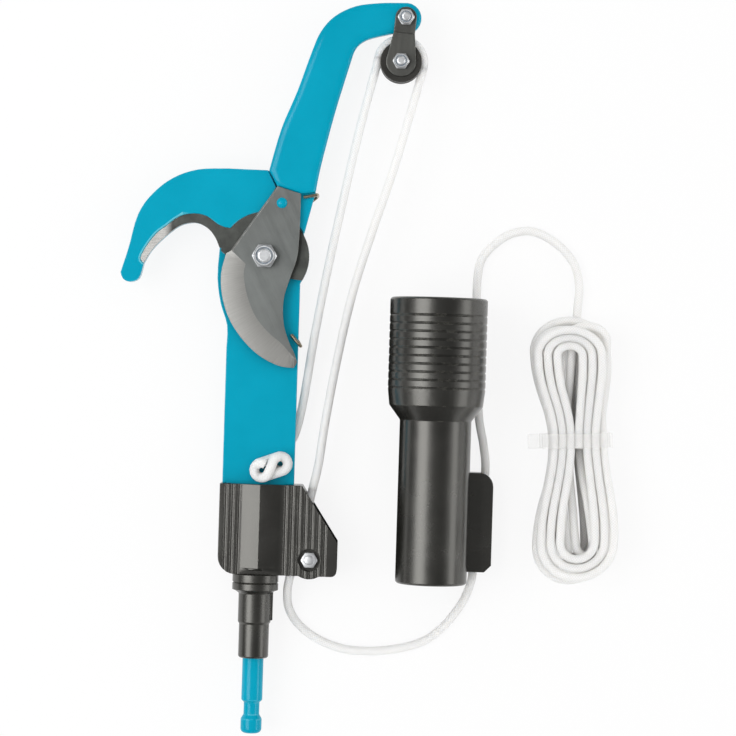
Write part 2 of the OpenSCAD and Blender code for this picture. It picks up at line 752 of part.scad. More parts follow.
module guide_roller_nut() {
    color(zinc) difference() {
        hex(roller_at, small_nut_af, table_z + face_gap, table_z + small_nut_h + face_gap);
        pin(roller_at, small_bolt_d + 2 * seat_fit, table_z - past, 0);
    }
}

// Sleeve round the tang: spigot with a key, collar, and a flange held in the adapter
step_y = 18.5;
step_rise = 1;
collar_y = 35;
collar_step = 1.5;
collar_bevel = 1.6;
collar_edge = 0.5;
collar_groove_lift = 5.6;
collar_groove_w = 0.6;
collar_groove_depth = 0.6;
spigot_chamfer = 0.8;
key_w = 3;
key_h = 1;
key_lift = 2;
key_root = 1;
module key_sleeve() {
    bore_r = shank_d / 2 + seat_fit;
    groove_y = collar_y + collar_groove_lift;
    groove_floor_r = collar_d / 2 - collar_groove_depth;
    color(black) union() {
        rotate([-90, 0, 0]) rotate_extrude() polygon([
            [bore_r, 0], [spigot_d / 2 - spigot_chamfer, 0], [spigot_d / 2, spigot_chamfer],
            [spigot_d / 2, step_y], [spigot_upper_d / 2, step_y + step_rise], [spigot_upper_d / 2, collar_y],
            [collar_d / 2 - collar_bevel, collar_y + collar_step],
            [collar_d / 2, collar_y + collar_step + collar_edge], [collar_d / 2, groove_y],
            [groove_floor_r, groove_y], [groove_floor_r, groove_y + collar_groove_w],
            [collar_d / 2, groove_y + collar_groove_w],
            [collar_d / 2, adapter_y], [neck_in_d / 2, adapter_y],
            [neck_in_d / 2, flange_y], [flange_d / 2, flange_y], [flange_d / 2, flange_y + flange_t],
            [bore_r, flange_y + flange_t]
        ]);
        rotate([0, 90, 0])
            translate([-key_w / 2, step_y + key_lift, bore_r + key_root])
                cube([key_w, collar_y - step_y - key_lift + step_rise,
                    spigot_upper_d / 2 + key_h - bore_r - key_root]);
    }
}

// The tang: knob, neck, plain part, shank, and a forked head pinned to the frame's stub
module pole_tang() {
    r = tang_d / 2;
    knob_y = -tang_plain - neck_len;
    dome = 2.5;
    neck_slope = 1.2;
    color(teal) difference() {
        rotate([-90, 0, 0]) rotate_extrude() polygon(concat(
            [[0, -tang_len], [r - dome, -tang_len]],
            arc([r - dome, dome - tang_len], dome, -90, 0, 6),
            [[r, knob_y - neck_slope], [neck_d / 2, knob_y + neck_slope],
            [neck_d / 2, -tang_plain - neck_slope], [r, -tang_plain],
            [r, 0], [shank_d / 2, 0], [shank_d / 2, fork_y],
            [fork_d / 2, fork_y], [fork_d / 2, fork_top], [0, fork_top]]
        ));
        translate([-stub_w / 2 - seat_fit, stub_y - seat_fit, frame_back - seat_fit])
            cube([stub_w + 2 * seat_fit, tongue_y, frame_t + 2 * seat_fit]);
        pin([0, pin_y], tang_pin_d + 2 * seat_fit, -fork_d, fork_d);
    }
}

module tang_pin() {
    half = sqrt(pow(fork_d / 2, 2) - pow(tang_pin_d / 2, 2)) - face_gap;
    color(zinc) pin([0, pin_y], tang_pin_d, -half, half);
}

// The rope's end: two turns of the knot on the frame's face, and its tail through the hole
knot_z = frame_front + rope_gap + rope_r;
behind_z = frame_back - rope_gap - rope_r;
turn_r = 3.9;
knot_turns = [rope_hole + [5, 2], rope_hole + [-5.2, -1.8]];
module rope_knot() {
    color(white) union() {
        for (at = knot_turns)
            translate([at[0], at[1], knot_z]) rotate_extrude() translate([turn_r, 0]) circle(d = rope_d);
        pin(rope_hole, rope_d, behind_z, knot_z);
        translate([rope_hole[0], rope_hole[1], behind_z]) sphere(d = rope_d);
    }
}

// Ropes at the pulley leave it as tangents of the wrap
up_turn = 169.7;
down_turn = -12.9;
function on_wrap(turn) = [pulley_at[0] + wrap_r * cos(turn), pulley_at[1] + wrap_r * sin(turn), pulley_z];
function off_wrap(turn, side) = on_wrap(turn) + side * rope_d * [-sin(turn), cos(turn), 0];
behind_start = [8.6, 106.2, behind_z];
up_route = [
    behind_start, [14, 113.5, -5.2], [19, 122, -5.2], [23, 140, -4.4], [27.5, 172, -2.4], [33.5, 208, 0],
    [41.5, 250, 3], [49, 287, 5]
];
down_route = [
    [75.5, 294, 5.4], [68, 266, 4], [58, 234, 2.6], [48.5, 201, 1.4], [41.5, 167, 0.6], [35.5, 130, 0.2],
    [32.4, 106, 0]
];
up_path = concat(smooth(concat(up_route, [off_wrap(up_turn, 1)]), 2), [on_wrap(up_turn)]);
down_end = slack_route[0] + 2 * face_gap * unit(slack_route[0] - slack_route[1]);
down_path = concat([on_wrap(down_turn)], smooth(concat([off_wrap(down_turn, -1)], down_route, [down_end]), 2));

module rope_up_run() {
    color(white) tube(up_path, rope_d, 10);
}

module rope_pulley_turn() {
    color(white) translate([pulley_at[0], pulley_at[1], pulley_z]) rotate(down_turn)
        rotate_extrude(angle = up_turn - down_turn) translate([wrap_r, 0]) circle(d = rope_d);
}

module rope_down_run() {
    color(white) tube(down_path, rope_d, 10);
}

module rope_slack_run() {
    color(white) tube(concat(slack_route, [fin_rope_low - 2 * face_gap * unit(fin_rope_lean)]), rope_d, 10);
}

// The grip: a turned sleeve with a fin that carries the rope and rests on the table
fin_low = grip_y + grip_fin_lift;
fin_right = grip_x + tube_d / 2 + grip_fin_reach;
fin_round = 7.5;
fin_floor = 1.2;
fin_rope_in = 4.1;
fin_rope_shift = 5.2;
fin_rope_z = table_z + fin_floor + rope_gap + rope_r;
fin_rope_low = [grip_x + tube_d / 2 + fin_rope_in, fin_low, fin_rope_z];
fin_rope_lean = [fin_rope_shift, grip_fin_len, 0];
fin_rope_high = fin_rope_low + fin_rope_lean;
// Chamfer of the grip's rims, and the grooves: their distance from the mouth's ends and their half widths
rim_chamfer = 1;
groove_margin = 9.5;
groove_half = 0.5;
groove_floor_half = 0.25;

module grip_sleeve() {
    bore_r = pole_bore_d / 2;
    mouth_r = mouth_d / 2;
    mouth_y = grip_len - mouth_len;
    groove_pitch = (mouth_len - 2 * groove_margin) / (grip_grooves - 1);
    floor_r = mouth_r - grip_groove_depth;
    fin = concat(
        [[grip_x, fin_low], [fin_right - fin_round / 2, fin_low], [fin_right, fin_low + fin_round / 2]],
        arc([fin_right - fin_round, fin_low + grip_fin_len - fin_round], fin_round, 0, 90, 6),
        [[grip_x, fin_low + grip_fin_len]]
    );
    color(black) difference() {
        union() {
            translate([grip_x, grip_y, grip_z]) rotate([-90, 0, 0]) rotate_extrude() polygon(concat(
                [[bore_r, 0], [tube_d / 2 - rim_chamfer, 0], [tube_d / 2, rim_chamfer],
                [tube_d / 2, mouth_y - cone_len], [mouth_r - rim_chamfer, mouth_y]],
                [for (i = [0:grip_grooves - 1]) let (y = mouth_y + groove_margin + i * groove_pitch) each [
                    [mouth_r, y - groove_half], [floor_r, y - groove_floor_half],
                    [floor_r, y + groove_floor_half], [mouth_r, y + groove_half]
                ]],
                [[mouth_r, grip_len - rim_chamfer], [mouth_r - rim_chamfer, grip_len],
                [mouth_r - mouth_wall, grip_len], [mouth_r - mouth_wall, mouth_y], [bore_r, mouth_y - cone_len]]
            ));
            plate(fin, table_z, table_z + grip_fin_h);
        }
        translate([grip_x, grip_y - past, grip_z]) rotate([-90, 0, 0])
            cylinder(d = pole_bore_d, h = mouth_y - cone_len);
        translate(fin_rope_low - rope_d * unit(fin_rope_lean))
            rotate([-90, 0, -atan2(fin_rope_lean[0], fin_rope_lean[1])])
                cylinder(d = rope_d + 2 * rope_gap, h = norm(fin_rope_lean) + 2 * rope_d);
    }
}

// Route of the rope from the fin, behind the grip and round to the hank
grip_route = [
    [122.4, 118, -11], [119.6, 132, -11.6], [118.2, 148, -11.6], [117.2, 164, -11.6], [116.6, 180, -11.6],
    [116.2, 196, -11.6], [116.2, 209, -11.6], [118, 220, -11.6], [124.2, 228.4, -11.6],
    [133.5, 234.8, -11.6], [144, 236.9, -11.6], [154, 233.6, -11.6], [163.2, 226.8, -11.6],
    [169.6, 218.2, -11.6], [172.2, 207, -11.6], [171.6, 196, -11.6], [171.2, 184, -11.6],
    [171.4, 170, -11.6], [171.9, 155, -11.4]
];

module rope_grip_run() {
    fin_path = [fin_rope_low, fin_rope_low + fin_rope_lean / 2, fin_rope_high];
    meet = [hank_path[0] - 2 * rope_d * hank_lead, hank_path[0]];
    color(white) tube(concat(fin_path, grip_route, meet), rope_d, 10);
}

// The hank: loops that spiral in and out by layers, drawn in at the waist
hank_at = [172, 123.3];
hank_lean = 3;
layer_turns = 2.5;
layer_gap = 0.5;
layer_pitch = rope_d + layer_gap;
waist_step = 5.4;
loop_step = 6.2;
end_step = 6;
run_share = 0.15;
cap_y = 49;
hank_z = table_z + tie_t + rope_gap + rope_r;
hank_turns = hank_layers * layer_turns;
lead_turns = 0;
tail_turns = 0.12;

// The tie sits above the hank's middle, and the upper ends of the loops lie on the rope that leads in
top_share = 0.9;
low_share = 1.1;
lead_lift = 4.2;

// Loops in from the outer one, and layers climbed, at a given number of turns
function layer_at(t) = min(floor(max(t, 0) / layer_turns), hank_layers - 1);
function loops_in(t) = let (k = layer_at(t), s = t - k * layer_turns) k % 2 == 0 ? layer_turns - s : s;
function eased(x) = let (s = max(0, min(1, x))) s * s * (3 - 2 * s);
function total(list, i = 0) = i >= len(list) ? 0 : list[i] + total(list, i + 1);
function climbs(t) = total([for (k = [1:hank_layers - 1])
    eased((t - k * layer_turns + run_share) / (2 * run_share))]);
function run_point(waist, loop, s, side) =
    [side * (waist + (loop - waist) * (1 - cos(180 * abs(s))) / 2), s * cap_y];
function loop_point(t) =
    let (
        f = t - floor(t), o = loops_in(t),
        waist = hank_waist / 2 - rope_r - o * waist_step,
        loop = hank_w / 2 - rope_r - o * loop_step,
        cap = hank_len / 2 - rope_r - cap_y - o * end_step,
        turn = 180 / (0.5 - 2 * run_share)
    )
    f < run_share ? run_point(waist, loop, -f / run_share, 1)
    : f < 0.5 - run_share ? let (a = (f - run_share) * turn) [loop * cos(a), -cap_y - cap * sin(a)]
    : f < 0.5 + run_share ? run_point(waist, loop, (f - 0.5) / run_share, -1)
    : f < 1 - run_share ? let (a = (f - 0.5 - run_share) * turn) [-loop * cos(a), cap_y + cap * sin(a)]
    : run_point(waist, loop, (1 - f) / run_share, 1);
function hank_point(t) =
    let (
        p = loop_point(t), c = cos(hank_lean), s = sin(hank_lean),
        y = p[1] * (p[1] > 0 ? top_share : low_share)
    )
    [
        hank_at[0] + p[0] * c - y * s, hank_at[1] + p[0] * s + y * c,
        hank_z + layer_pitch * climbs(t) + lead_lift * eased((y - 22) / 24)
    ];
loop_rings = 24;
hank_rings = ceil((hank_turns + lead_turns + tail_turns) * loop_rings);
hank_curve = [for (i = [0:hank_rings])
    hank_point(-lead_turns + (hank_turns + lead_turns + tail_turns) * i / hank_rings)];
hank_lead = unit(hank_curve[1] - hank_curve[0]);
hank_tail = unit(hank_curve[hank_rings] - hank_curve[hank_rings - 1]);
hank_path = concat(
    [hank_curve[0] - rope_d * hank_lead], hank_curve, [hank_curve[hank_rings] + rope_d * hank_tail]
);
function length_of(p) = total([for (i = [0:len(p) - 2]) norm(p[i + 1] - p[i])]);
echo(hank_least_gap = self_gap(hank_path, rope_d, 6), hank_rope_length = length_of(hank_path));

module rope_hank() {
    color(white) tube(hank_path, rope_d, 6);
}

// A flat band round the waist, with its fastened end as a tab
module hank_tie() {
    inner_w = hank_waist + 2 * rope_gap;
    inner_h = hank_layers * layer_pitch + rope_gap;
    tab_len = 7;
    color([0.95, 0.95, 0.95]) translate([hank_at[0], hank_at[1], table_z]) rotate(hank_lean) difference() {
        union() {
            translate([-inner_w / 2 - tie_t, -tie_w / 2, 0])
                cube([inner_w + 2 * tie_t, tie_w, inner_h + 2 * tie_t]);
            translate([-inner_w / 2 - tie_t - tab_len, -tie_w / 2, inner_h / 2])
                cube([tab_len + tie_t / 2, tie_w, 2 * tie_t]);
        }
        translate([-inner_w / 2, -tie_w / 2 - past, tie_t]) cube([inner_w, tie_w + 2 * past, inner_h]);
    }
}

frame();
counter_blade();
blade();
lever_arm();
lever_rivet();
pivot_bolt();
pivot_nut();
pivot_bush();
pivot_washer();
spring_spool();
torsion_spring();
block_bolt();
block_nut();
block_front_plate();
block_rear_plate();
pulley();
pulley_axle();
pulley_axle_nut();
adapter_front_shell();
adapter_rear_shell();
adapter_screws();
key_sleeve();
pole_tang();
tang_pin();
guide_roller();
guide_roller_screw();
guide_roller_nut();
rope_knot();
rope_up_run();
rope_pulley_turn();
rope_down_run();
rope_slack_run();
grip_sleeve();
rope_grip_run();
rope_hank();
hank_tie();
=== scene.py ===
"""Dresses the rope-operated pruner head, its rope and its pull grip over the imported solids."""

import collections
import json
import math

import bmesh
import bpy
import numpy as np
from bpy.props import FloatProperty, FloatVectorProperty, PointerProperty
from mathutils import Matrix, Vector


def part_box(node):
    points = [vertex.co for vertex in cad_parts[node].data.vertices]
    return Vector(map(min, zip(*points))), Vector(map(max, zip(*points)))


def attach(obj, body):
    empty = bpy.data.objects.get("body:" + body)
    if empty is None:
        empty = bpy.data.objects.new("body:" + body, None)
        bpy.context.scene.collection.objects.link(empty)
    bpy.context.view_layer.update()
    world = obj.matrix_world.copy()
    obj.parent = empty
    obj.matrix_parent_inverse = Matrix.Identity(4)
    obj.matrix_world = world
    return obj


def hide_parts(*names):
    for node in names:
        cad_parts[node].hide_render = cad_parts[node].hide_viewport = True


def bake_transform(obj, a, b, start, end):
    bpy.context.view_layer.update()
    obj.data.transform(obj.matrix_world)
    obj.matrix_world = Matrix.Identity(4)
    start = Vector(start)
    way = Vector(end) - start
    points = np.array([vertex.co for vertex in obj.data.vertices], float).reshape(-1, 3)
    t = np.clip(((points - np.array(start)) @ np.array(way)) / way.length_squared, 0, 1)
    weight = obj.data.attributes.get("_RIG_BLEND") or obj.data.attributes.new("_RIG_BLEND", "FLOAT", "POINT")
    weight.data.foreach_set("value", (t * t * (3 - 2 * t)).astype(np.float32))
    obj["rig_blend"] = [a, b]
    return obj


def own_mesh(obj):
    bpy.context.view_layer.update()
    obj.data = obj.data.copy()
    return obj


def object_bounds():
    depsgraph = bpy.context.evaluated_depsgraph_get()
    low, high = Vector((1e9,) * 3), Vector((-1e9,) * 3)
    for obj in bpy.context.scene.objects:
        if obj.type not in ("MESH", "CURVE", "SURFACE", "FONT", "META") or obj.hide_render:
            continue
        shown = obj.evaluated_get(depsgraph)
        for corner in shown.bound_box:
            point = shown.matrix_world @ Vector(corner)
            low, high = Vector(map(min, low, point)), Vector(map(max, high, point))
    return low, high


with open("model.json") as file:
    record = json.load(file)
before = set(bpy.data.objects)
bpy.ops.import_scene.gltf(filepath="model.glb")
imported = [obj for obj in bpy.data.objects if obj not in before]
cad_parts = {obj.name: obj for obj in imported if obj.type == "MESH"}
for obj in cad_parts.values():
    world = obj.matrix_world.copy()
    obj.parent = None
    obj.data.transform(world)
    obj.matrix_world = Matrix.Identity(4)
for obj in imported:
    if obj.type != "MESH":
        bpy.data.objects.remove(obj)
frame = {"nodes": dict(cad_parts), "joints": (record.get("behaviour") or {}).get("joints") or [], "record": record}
CAD_LOW, CAD_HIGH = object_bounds()

bl_info = {
    "name": "Rope pruner head",
    "version": (1, 0, 0),
    "blender": (4, 5, 0),
    "location": "View3D > Sidebar > Pruner",
    "description": "Dresses the pruner head, its rope and its pull grip over the packed solids",
    "category": "Object",
}

MM = 0.001
BODY_OF = {n: b for b, members in frame["record"]["behaviour"]["bodies"].items() for n in members}
JOINTS = {row["name"]: row for row in frame["joints"]}
PIVOT = Vector(JOINTS["lever_close"]["pos_m"])

EDGE_MARK = "edge_face"
JOIN_DISTANCE = 0.002 * MM
ON_FACE = 0.01 * MM
FLAT_ANGLE = math.radians(0.6)
SHARP_ANGLE = math.radians(28)
SHADING_ANGLE = math.radians(34)

ROPE_WIDTH = 4.8 * MM
ROPE_SIDES = 16
BRAID_STEP = 0.75 * MM


def number_property(name, description, default, unit="NONE"):
    """A number from 0 up that a user may change."""
    return FloatProperty(name=name, description=description, default=default, min=0.0, unit=unit)


def length_property(name, description, default):
    """A length that a user may change."""
    return number_property(name, description, default, "LENGTH")


def colour_property(name, description, default):
    """A linear colour that a user may change."""
    return FloatVectorProperty(
        name=name, description=description, default=default, min=0.0, max=1.0, size=3, subtype="COLOR"
    )


class PrunerSizes(bpy.types.PropertyGroup):
    """Sizes of the finish and of the soft pieces."""

    rope_width: length_property("Rope", "Diameter of the rope", ROPE_WIDTH)
    braid_step: length_property("Braid step", "Length of half a braid cell along the rope", BRAID_STEP)
    braid_relief: length_property("Braid relief", "Depth between the strands of the braid", 0.16 * MM)
    wire_width: length_property("Spring wire", "Diameter of the return spring's wire", 1.8 * MM)
    plate_round: length_property("Plate edges", "Rounding of the painted plate's edges", 0.45 * MM)
    seat_round: length_property("Seat edge", "Rounding of the hook beside the counter blade", 1.2 * MM)
    strap_round: length_property("Strap edges", "Rounding of the pulley straps' edges", 0.45 * MM)
    arm_shoulder: length_property("Arm shoulders", "Width of the lever arm's rounded shoulders", 5.0 * MM)
    arm_crown: length_property("Arm crown", "Height of the lever arm's rounded shoulders", 2.2 * MM)
    small_round: length_property("Small edges", "Rounding of bolts and nuts", 0.22 * MM)
    moulded_round: length_property("Moulded edges", "Rounding of the moulded plastic's edges", 0.3 * MM)
    blade_round: length_property("Blade edges", "Rounding of the ground steel's edges", 0.1 * MM)


class PrunerColours(bpy.types.PropertyGroup):
    """Colours of the finishes, linear."""

    enamel: colour_property("Enamel", "Paint of the frame, the arm and the tang", (0.0, 0.347, 0.505))
    moulded: colour_property("Black plastic", "Adapter, sleeve, pulley and grip", (0.0125, 0.0122, 0.0105))
    blade: colour_property("Blade", "Face of the cutting blade", (0.122, 0.131, 0.126))
    ground: colour_property("Ground bevel", "Ground edge of the blade", (0.195, 0.193, 0.181))
    counter: colour_property("Counter blade", "Dark steel of the counter blade", (0.048, 0.052, 0.046))
    zinc: colour_property("Zinc", "Nuts, bolts and screws", (0.5, 0.51, 0.52))
    strap: colour_property("Straps", "Straps of the pulley block", (0.08, 0.081, 0.074))
    wire: colour_property("Spring wire", "Return spring", (0.42, 0.35, 0.25))
    rope: colour_property("Rope", "Braided rope", (0.965, 0.955, 0.93))
    tie: colour_property("Tie", "Tie of the hank", (0.95, 0.945, 0.93))
    roller: colour_property("Roller", "Guide roller", (0.66, 0.65, 0.6))
    insert: colour_property("Insert", "Nylon ring of the lock nuts", (0.3, 0.36, 0.42))


class PrunerStage(bpy.types.PropertyGroup):
    """Camera and light."""

    camera_place: FloatVectorProperty(
        name="Camera", description="Place of the camera", default=(0.0577, 0.1592, 1.4), unit="LENGTH"
    )
    camera_roll: FloatProperty(
        name="Roll", description="Turn of the camera about its own axis",
        default=math.radians(1.75), unit="ROTATION",
    )
    camera_lens: number_property("Lens", "Focal length in millimetres", 125.9, "CAMERA")
    key_power: number_property("Left softbox", "Power of the left lamp", 13.9, "POWER")
    side_power: number_property("Right softbox", "Power of the right lamp", 5.0, "POWER")
    key_gloss: number_property("Left card", "Power that only gloss sees on the left", 60.0, "POWER")
    side_gloss: number_property("Right card", "Power that only gloss sees on the right", 30.0, "POWER")
    room_light: number_property("Room light", "Strength of the even light", 0.76)
    room_gloss: number_property("Room in gloss", "How bright gloss shows the room", 0.16)
    room_ceiling: number_property("Ceiling", "How bright gloss shows what is overhead", 0.25)


def put(tree, kind, inputs=None, **settings):
    """A node with its settings, and with values or links on its inputs."""
    made = tree.nodes.new("ShaderNode" + kind)
    for key, value in settings.items():
        setattr(made, key, value)
    for key, value in (inputs or {}).items():
        feed(tree, made.inputs[key], value)
    return made


def feed(tree, socket, value):
    """Sets an input socket, or links it to an output."""
    if isinstance(value, bpy.types.NodeSocket):
        tree.links.new(value, socket)
    else:
        socket.default_value = value


def maths(tree, operation, *values):
    """Result of a math node."""
    return put(tree, "Math", dict(enumerate(values)), operation=operation).outputs[0]


def ranged(tree, value, low, high, new_low=0.0, new_high=1.0):
    """A value taken from one range to another and held inside it."""
    return put(tree, "MapRange", {0: value, 1: low, 2: high, 3: new_low, 4: new_high}).outputs[0]


def blended(tree, share, first, second):
    """A colour between two."""
    return put(tree, "Mix", {0: share, 6: first, 7: second}, data_type="RGBA").outputs[2]


def tinted(colour, share):
    """A colour made darker or lighter, with an alpha of 1."""
    return tuple(min(1.0, channel * share) for channel in colour) + (1.0,)


def new_group(name, inputs, outputs):
    """An empty shader node group with named sockets, and its two end nodes."""
    tree = bpy.data.node_groups.new(name, "ShaderNodeTree")
    for label, kind, default in inputs:
        socket = tree.interface.new_socket(label, in_out="INPUT", socket_type="NodeSocket" + kind)
        if default is not None:
            socket.default_value = default
    for label in outputs:
        tree.interface.new_socket(label, in_out="OUTPUT", socket_type="NodeSocketFloat")
    return tree, tree.nodes.new("NodeGroupInput").outputs, tree.nodes.new("NodeGroupOutput").inputs


def use_group(tree, name, inputs):
    """A shared group placed in a material. Gives its outputs."""
    return put(tree, "Group", inputs, node_tree=bpy.data.node_groups[name]).outputs


def make_surface_grain():
    """Fine grain and slow clouds of any finish."""
    tree, given, out = new_group(
        "surface grain",
        [("Vector", "Vector", None), ("Grain Scale", "Float", 600.0), ("Cloud Scale", "Float", 25.0)],
        ["Grain", "Cloud"],
    )
    fine = put(tree, "TexNoise", {"Vector": given[0], "Scale": given[1], "Detail": 3.0, "Roughness": 0.6})
    slow = put(tree, "TexNoise", {"Vector": given[0], "Scale": given[2], "Detail": 4.0, "Roughness": 0.55})
    feed(tree, out[0], ranged(tree, fine.outputs[0], 0.3, 0.7))
    feed(tree, out[1], ranged(tree, slow.outputs[0], 0.32, 0.68))


def make_ground_lines():
    """Fine lines along the vector's first axis, as a wheel or a belt leaves them."""
    tree, given, out = new_group(
        "ground lines",
        [("Vector", "Vector", None), ("Along", "Float", 40.0), ("Across", "Float", 2600.0)],
        ["Lines", "Bands"],
    )
    spread = put(tree, "CombineXYZ", {0: given[1], 1: given[2], 2: given[2]}).outputs[0]
    stretched = put(tree, "VectorMath", {0: given[0], 1: spread}, operation="MULTIPLY").outputs[0]
    fine = put(tree, "TexNoise", {"Vector": stretched, "Scale": 1.0, "Detail": 3.0, "Roughness": 0.65})
    wide = put(tree, "TexNoise", {"Vector": stretched, "Scale": 0.16, "Detail": 2.0, "Roughness": 0.5})
    feed(tree, out[0], ranged(tree, fine.outputs[0], 0.3, 0.7))
    feed(tree, out[1], ranged(tree, wide.outputs[0], 0.3, 0.7))


def make_edge_rub():
    """Broken wear on the faces that round an edge, and stray scuffs elsewhere."""
    tree, given, out = new_group(
        "edge rub", [("Vector", "Vector", None), ("Scale", "Float", 240.0)], ["Rub", "Scuff"]
    )
    edge = put(tree, "Attribute", attribute_name=EDGE_MARK).outputs["Fac"]
    patches = put(tree, "TexNoise", {"Vector": given[0], "Scale": given[1], "Detail": 4.0}).outputs[0]
    feed(tree, out[0], maths(tree, "MULTIPLY", edge, ranged(tree, patches, 0.46, 0.6)))
    slanted = {"Vector": given[0], "Rotation": (0.0, 0.0, 0.9), "Scale": (1.0, 14.0, 6.0)}
    drawn = put(tree, "Mapping", slanted).outputs[0]
    streaks = put(tree, "TexNoise", {"Vector": drawn, "Scale": 60.0, "Detail": 3.0}).outputs[0]
    feed(tree, out[1], ranged(tree, streaks, 0.62, 0.74))


def make_braid_cells():
    """Crowns and fibres of a braided rope, from a UV that runs round it and along it in metres."""
    tree, given, out = new_group(
        "braid cells",
        [("UV", "Vector", None), ("Sides", "Float", ROPE_SIDES), ("Step", "Float", BRAID_STEP)],
        ["Crown", "Fibre"],
    )
    fibres_per_cell = 2.5
    split = put(tree, "SeparateXYZ", {0: given[0]}).outputs
    around = maths(tree, "MULTIPLY", maths(tree, "MULTIPLY", split[0], given[1]), math.pi)
    along = maths(tree, "MULTIPLY", maths(tree, "DIVIDE", split[1], given[2]), math.pi)
    cells = maths(tree, "MULTIPLY", maths(tree, "COSINE", around), maths(tree, "COSINE", along))
    feed(tree, out[0], ranged(tree, cells, -1.0, 0.6))
    together = maths(tree, "ADD", around, along)
    rising = maths(tree, "SINE", maths(tree, "MULTIPLY", together, fibres_per_cell))
    apart = maths(tree, "SUBTRACT", around, along)
    falling = maths(tree, "SINE", maths(tree, "MULTIPLY", apart, fibres_per_cell))
    fibres = put(tree, "Mix", {0: ranged(tree, cells, -0.2, 0.2), 2: rising, 3: falling}, data_type="FLOAT")
    feed(tree, out[1], ranged(tree, fibres.outputs[0], -1.0, 1.0))


def new_material(name):
    """An empty node material with its tree, its shader and the piece's own coordinates."""
    made = bpy.data.materials.new(name)
    made.use_nodes = True
    tree = made.node_tree
    return made, tree, tree.nodes["Principled BSDF"], put(tree, "TexCoord").outputs["Object"]


def finish_shader(tree, shader, colour, roughness, height, depth, **constants):
    """Feeds a Principled shader, with a bump of that depth, and sets its constants."""
    bump = put(tree, "Bump", {"Strength": 1.0, "Distance": depth, "Height": height})
    feed(tree, shader.inputs["Base Color"], colour)
    feed(tree, shader.inputs["Roughness"], roughness)
    feed(tree, shader.inputs["Normal"], bump.outputs[0])
    for label, value in constants.items():
        shader.inputs[label.replace("_", " ")].default_value = value


STEEL_RUB = 320.0
# Pale enamel of rubbed edges, also used as a painted highlight line on the hook's seat edge
THIN_PAINT_AND_HIGHLIGHT = (0.16, 0.6, 0.72, 1.0)
HOOK_GROUND_FROM = -50.5 * MM
HOOK_GROUND_FULL = -54.5 * MM
GROUND_DARK = (0.3, 0.295, 0.28, 1.0)
GROUND_BRIGHT = (0.5, 0.49, 0.47, 1.0)
COUNTER_RUBBED = (0.5, 0.48, 0.46, 1.0)
BEVEL_CENTRE = (0.052, 0.222, 0.0)
BEVEL_RADIUS = 0.07
# Share of the rope's colour in the painted shade between its strands
ROPE_PAINTED_SHADE = (0.9, 0.88, 0.85)


def make_enamel(colours):
    """Glossy paint with a slight film texture, paler rubbed edges and a painted highlight along the hook's seat
    edge.
    """
    made, tree, shader, place = new_material("teal enamel")
    grain = use_group(tree, "surface grain", {"Vector": place, "Grain Scale": 330.0, "Cloud Scale": 26.0})
    rub = use_group(tree, "edge rub", {"Vector": place, "Scale": 210.0})
    film = blended(tree, grain["Cloud"], tinted(colours.enamel, 0.94), tinted(colours.enamel, 1.05))
    edge = put(tree, "Attribute", attribute_name=EDGE_MARK).outputs["Fac"]
    # Edge marks above 1 paint a pale highlight line along the hook's seat edge; lower marks are rubbed paint
    worn_and_highlit = maths(tree, "MAXIMUM", maths(tree, "MULTIPLY", rub["Rub"], 0.3), ranged(tree, edge, 1.0, 2.0))
    colour = blended(tree, worn_and_highlit, film, THIN_PAINT_AND_HIGHLIGHT)
    gloss = ranged(tree, grain["Cloud"], 0.0, 1.0, 0.1, 0.14)
    finish_shader(
        tree, shader, colour, gloss, grain["Grain"], 0.005 * MM,
        Specular_IOR_Level=0.15, Coat_Roughness=0.08,
    )
    feed(tree, shader.inputs["Coat Weight"], ranged(tree, grain["Cloud"], 0.0, 1.0, 0.02, 0.06))
    return made


def make_moulded(colours):
    """Black moulded plastic: fine spark grain, faint scuffs, and edges painted lighter, partly as rubbed plastic
    and partly as a painted highlight.
    """
    made, tree, shader, place = new_material("black moulded plastic")
    grain = use_group(tree, "surface grain", {"Vector": place, "Grain Scale": 1500.0, "Cloud Scale": 40.0})
    rub = use_group(tree, "edge rub", {"Vector": place, "Scale": 300.0})
    base = blended(tree, grain["Cloud"], tinted(colours.moulded, 0.8), tinted(colours.moulded, 1.3))
    # Rounded edges painted lighter: partly rubbed plastic, partly a painted highlight
    edges = maths(tree, "MULTIPLY", rub["Rub"], 0.5)
    scuffs = maths(tree, "MULTIPLY", rub["Scuff"], 0.18)
    worn = maths(tree, "ADD", edges, scuffs)
    colour = blended(tree, worn, base, tinted(colours.moulded, 5.0))
    gloss = ranged(tree, grain["Cloud"], 0.0, 1.0, 0.22, 0.29)
    finish_shader(
        tree, shader, colour, gloss, grain["Grain"], 0.008 * MM,
        Specular_IOR_Level=1.0, Specular_Tint=(1.0, 0.985, 0.93, 1.0),
    )
    return made


def make_steel(name, colour, scales, lines, roughness, metal):
    """Steel with fine lines along an angle in the face, slow clouds and bright rubbed edges."""
    made, tree, shader, place = new_material(name)
    drawn = put(tree, "Mapping", {"Vector": place, "Rotation": (0.0, 0.0, lines)}).outputs[0]
    ground = use_group(tree, "ground lines", {"Vector": drawn, "Along": 60.0, "Across": 2400.0})
    grain = use_group(tree, "surface grain", {"Vector": place, **scales})
    rub = use_group(tree, "edge rub", {"Vector": place, "Scale": STEEL_RUB})
    base = blended(tree, grain["Cloud"], tinted(colour, 0.84), tinted(colour, 1.1))
    lined = blended(tree, maths(tree, "MULTIPLY", ground["Lines"], 0.25), base, tinted(colour, 1.35))
    worn = blended(tree, maths(tree, "MULTIPLY", rub["Rub"], 0.6), lined, tinted(colour, 1.9))
    gloss = ranged(tree, ground["Bands"], 0.0, 1.0, roughness - 0.05, roughness + 0.07)
    height = maths(tree, "ADD", ground["Lines"], maths(tree, "MULTIPLY", grain["Grain"], 0.6))
    finish_shader(tree, shader, worn, gloss, height, 0.008 * MM, Metallic=metal)
    return made


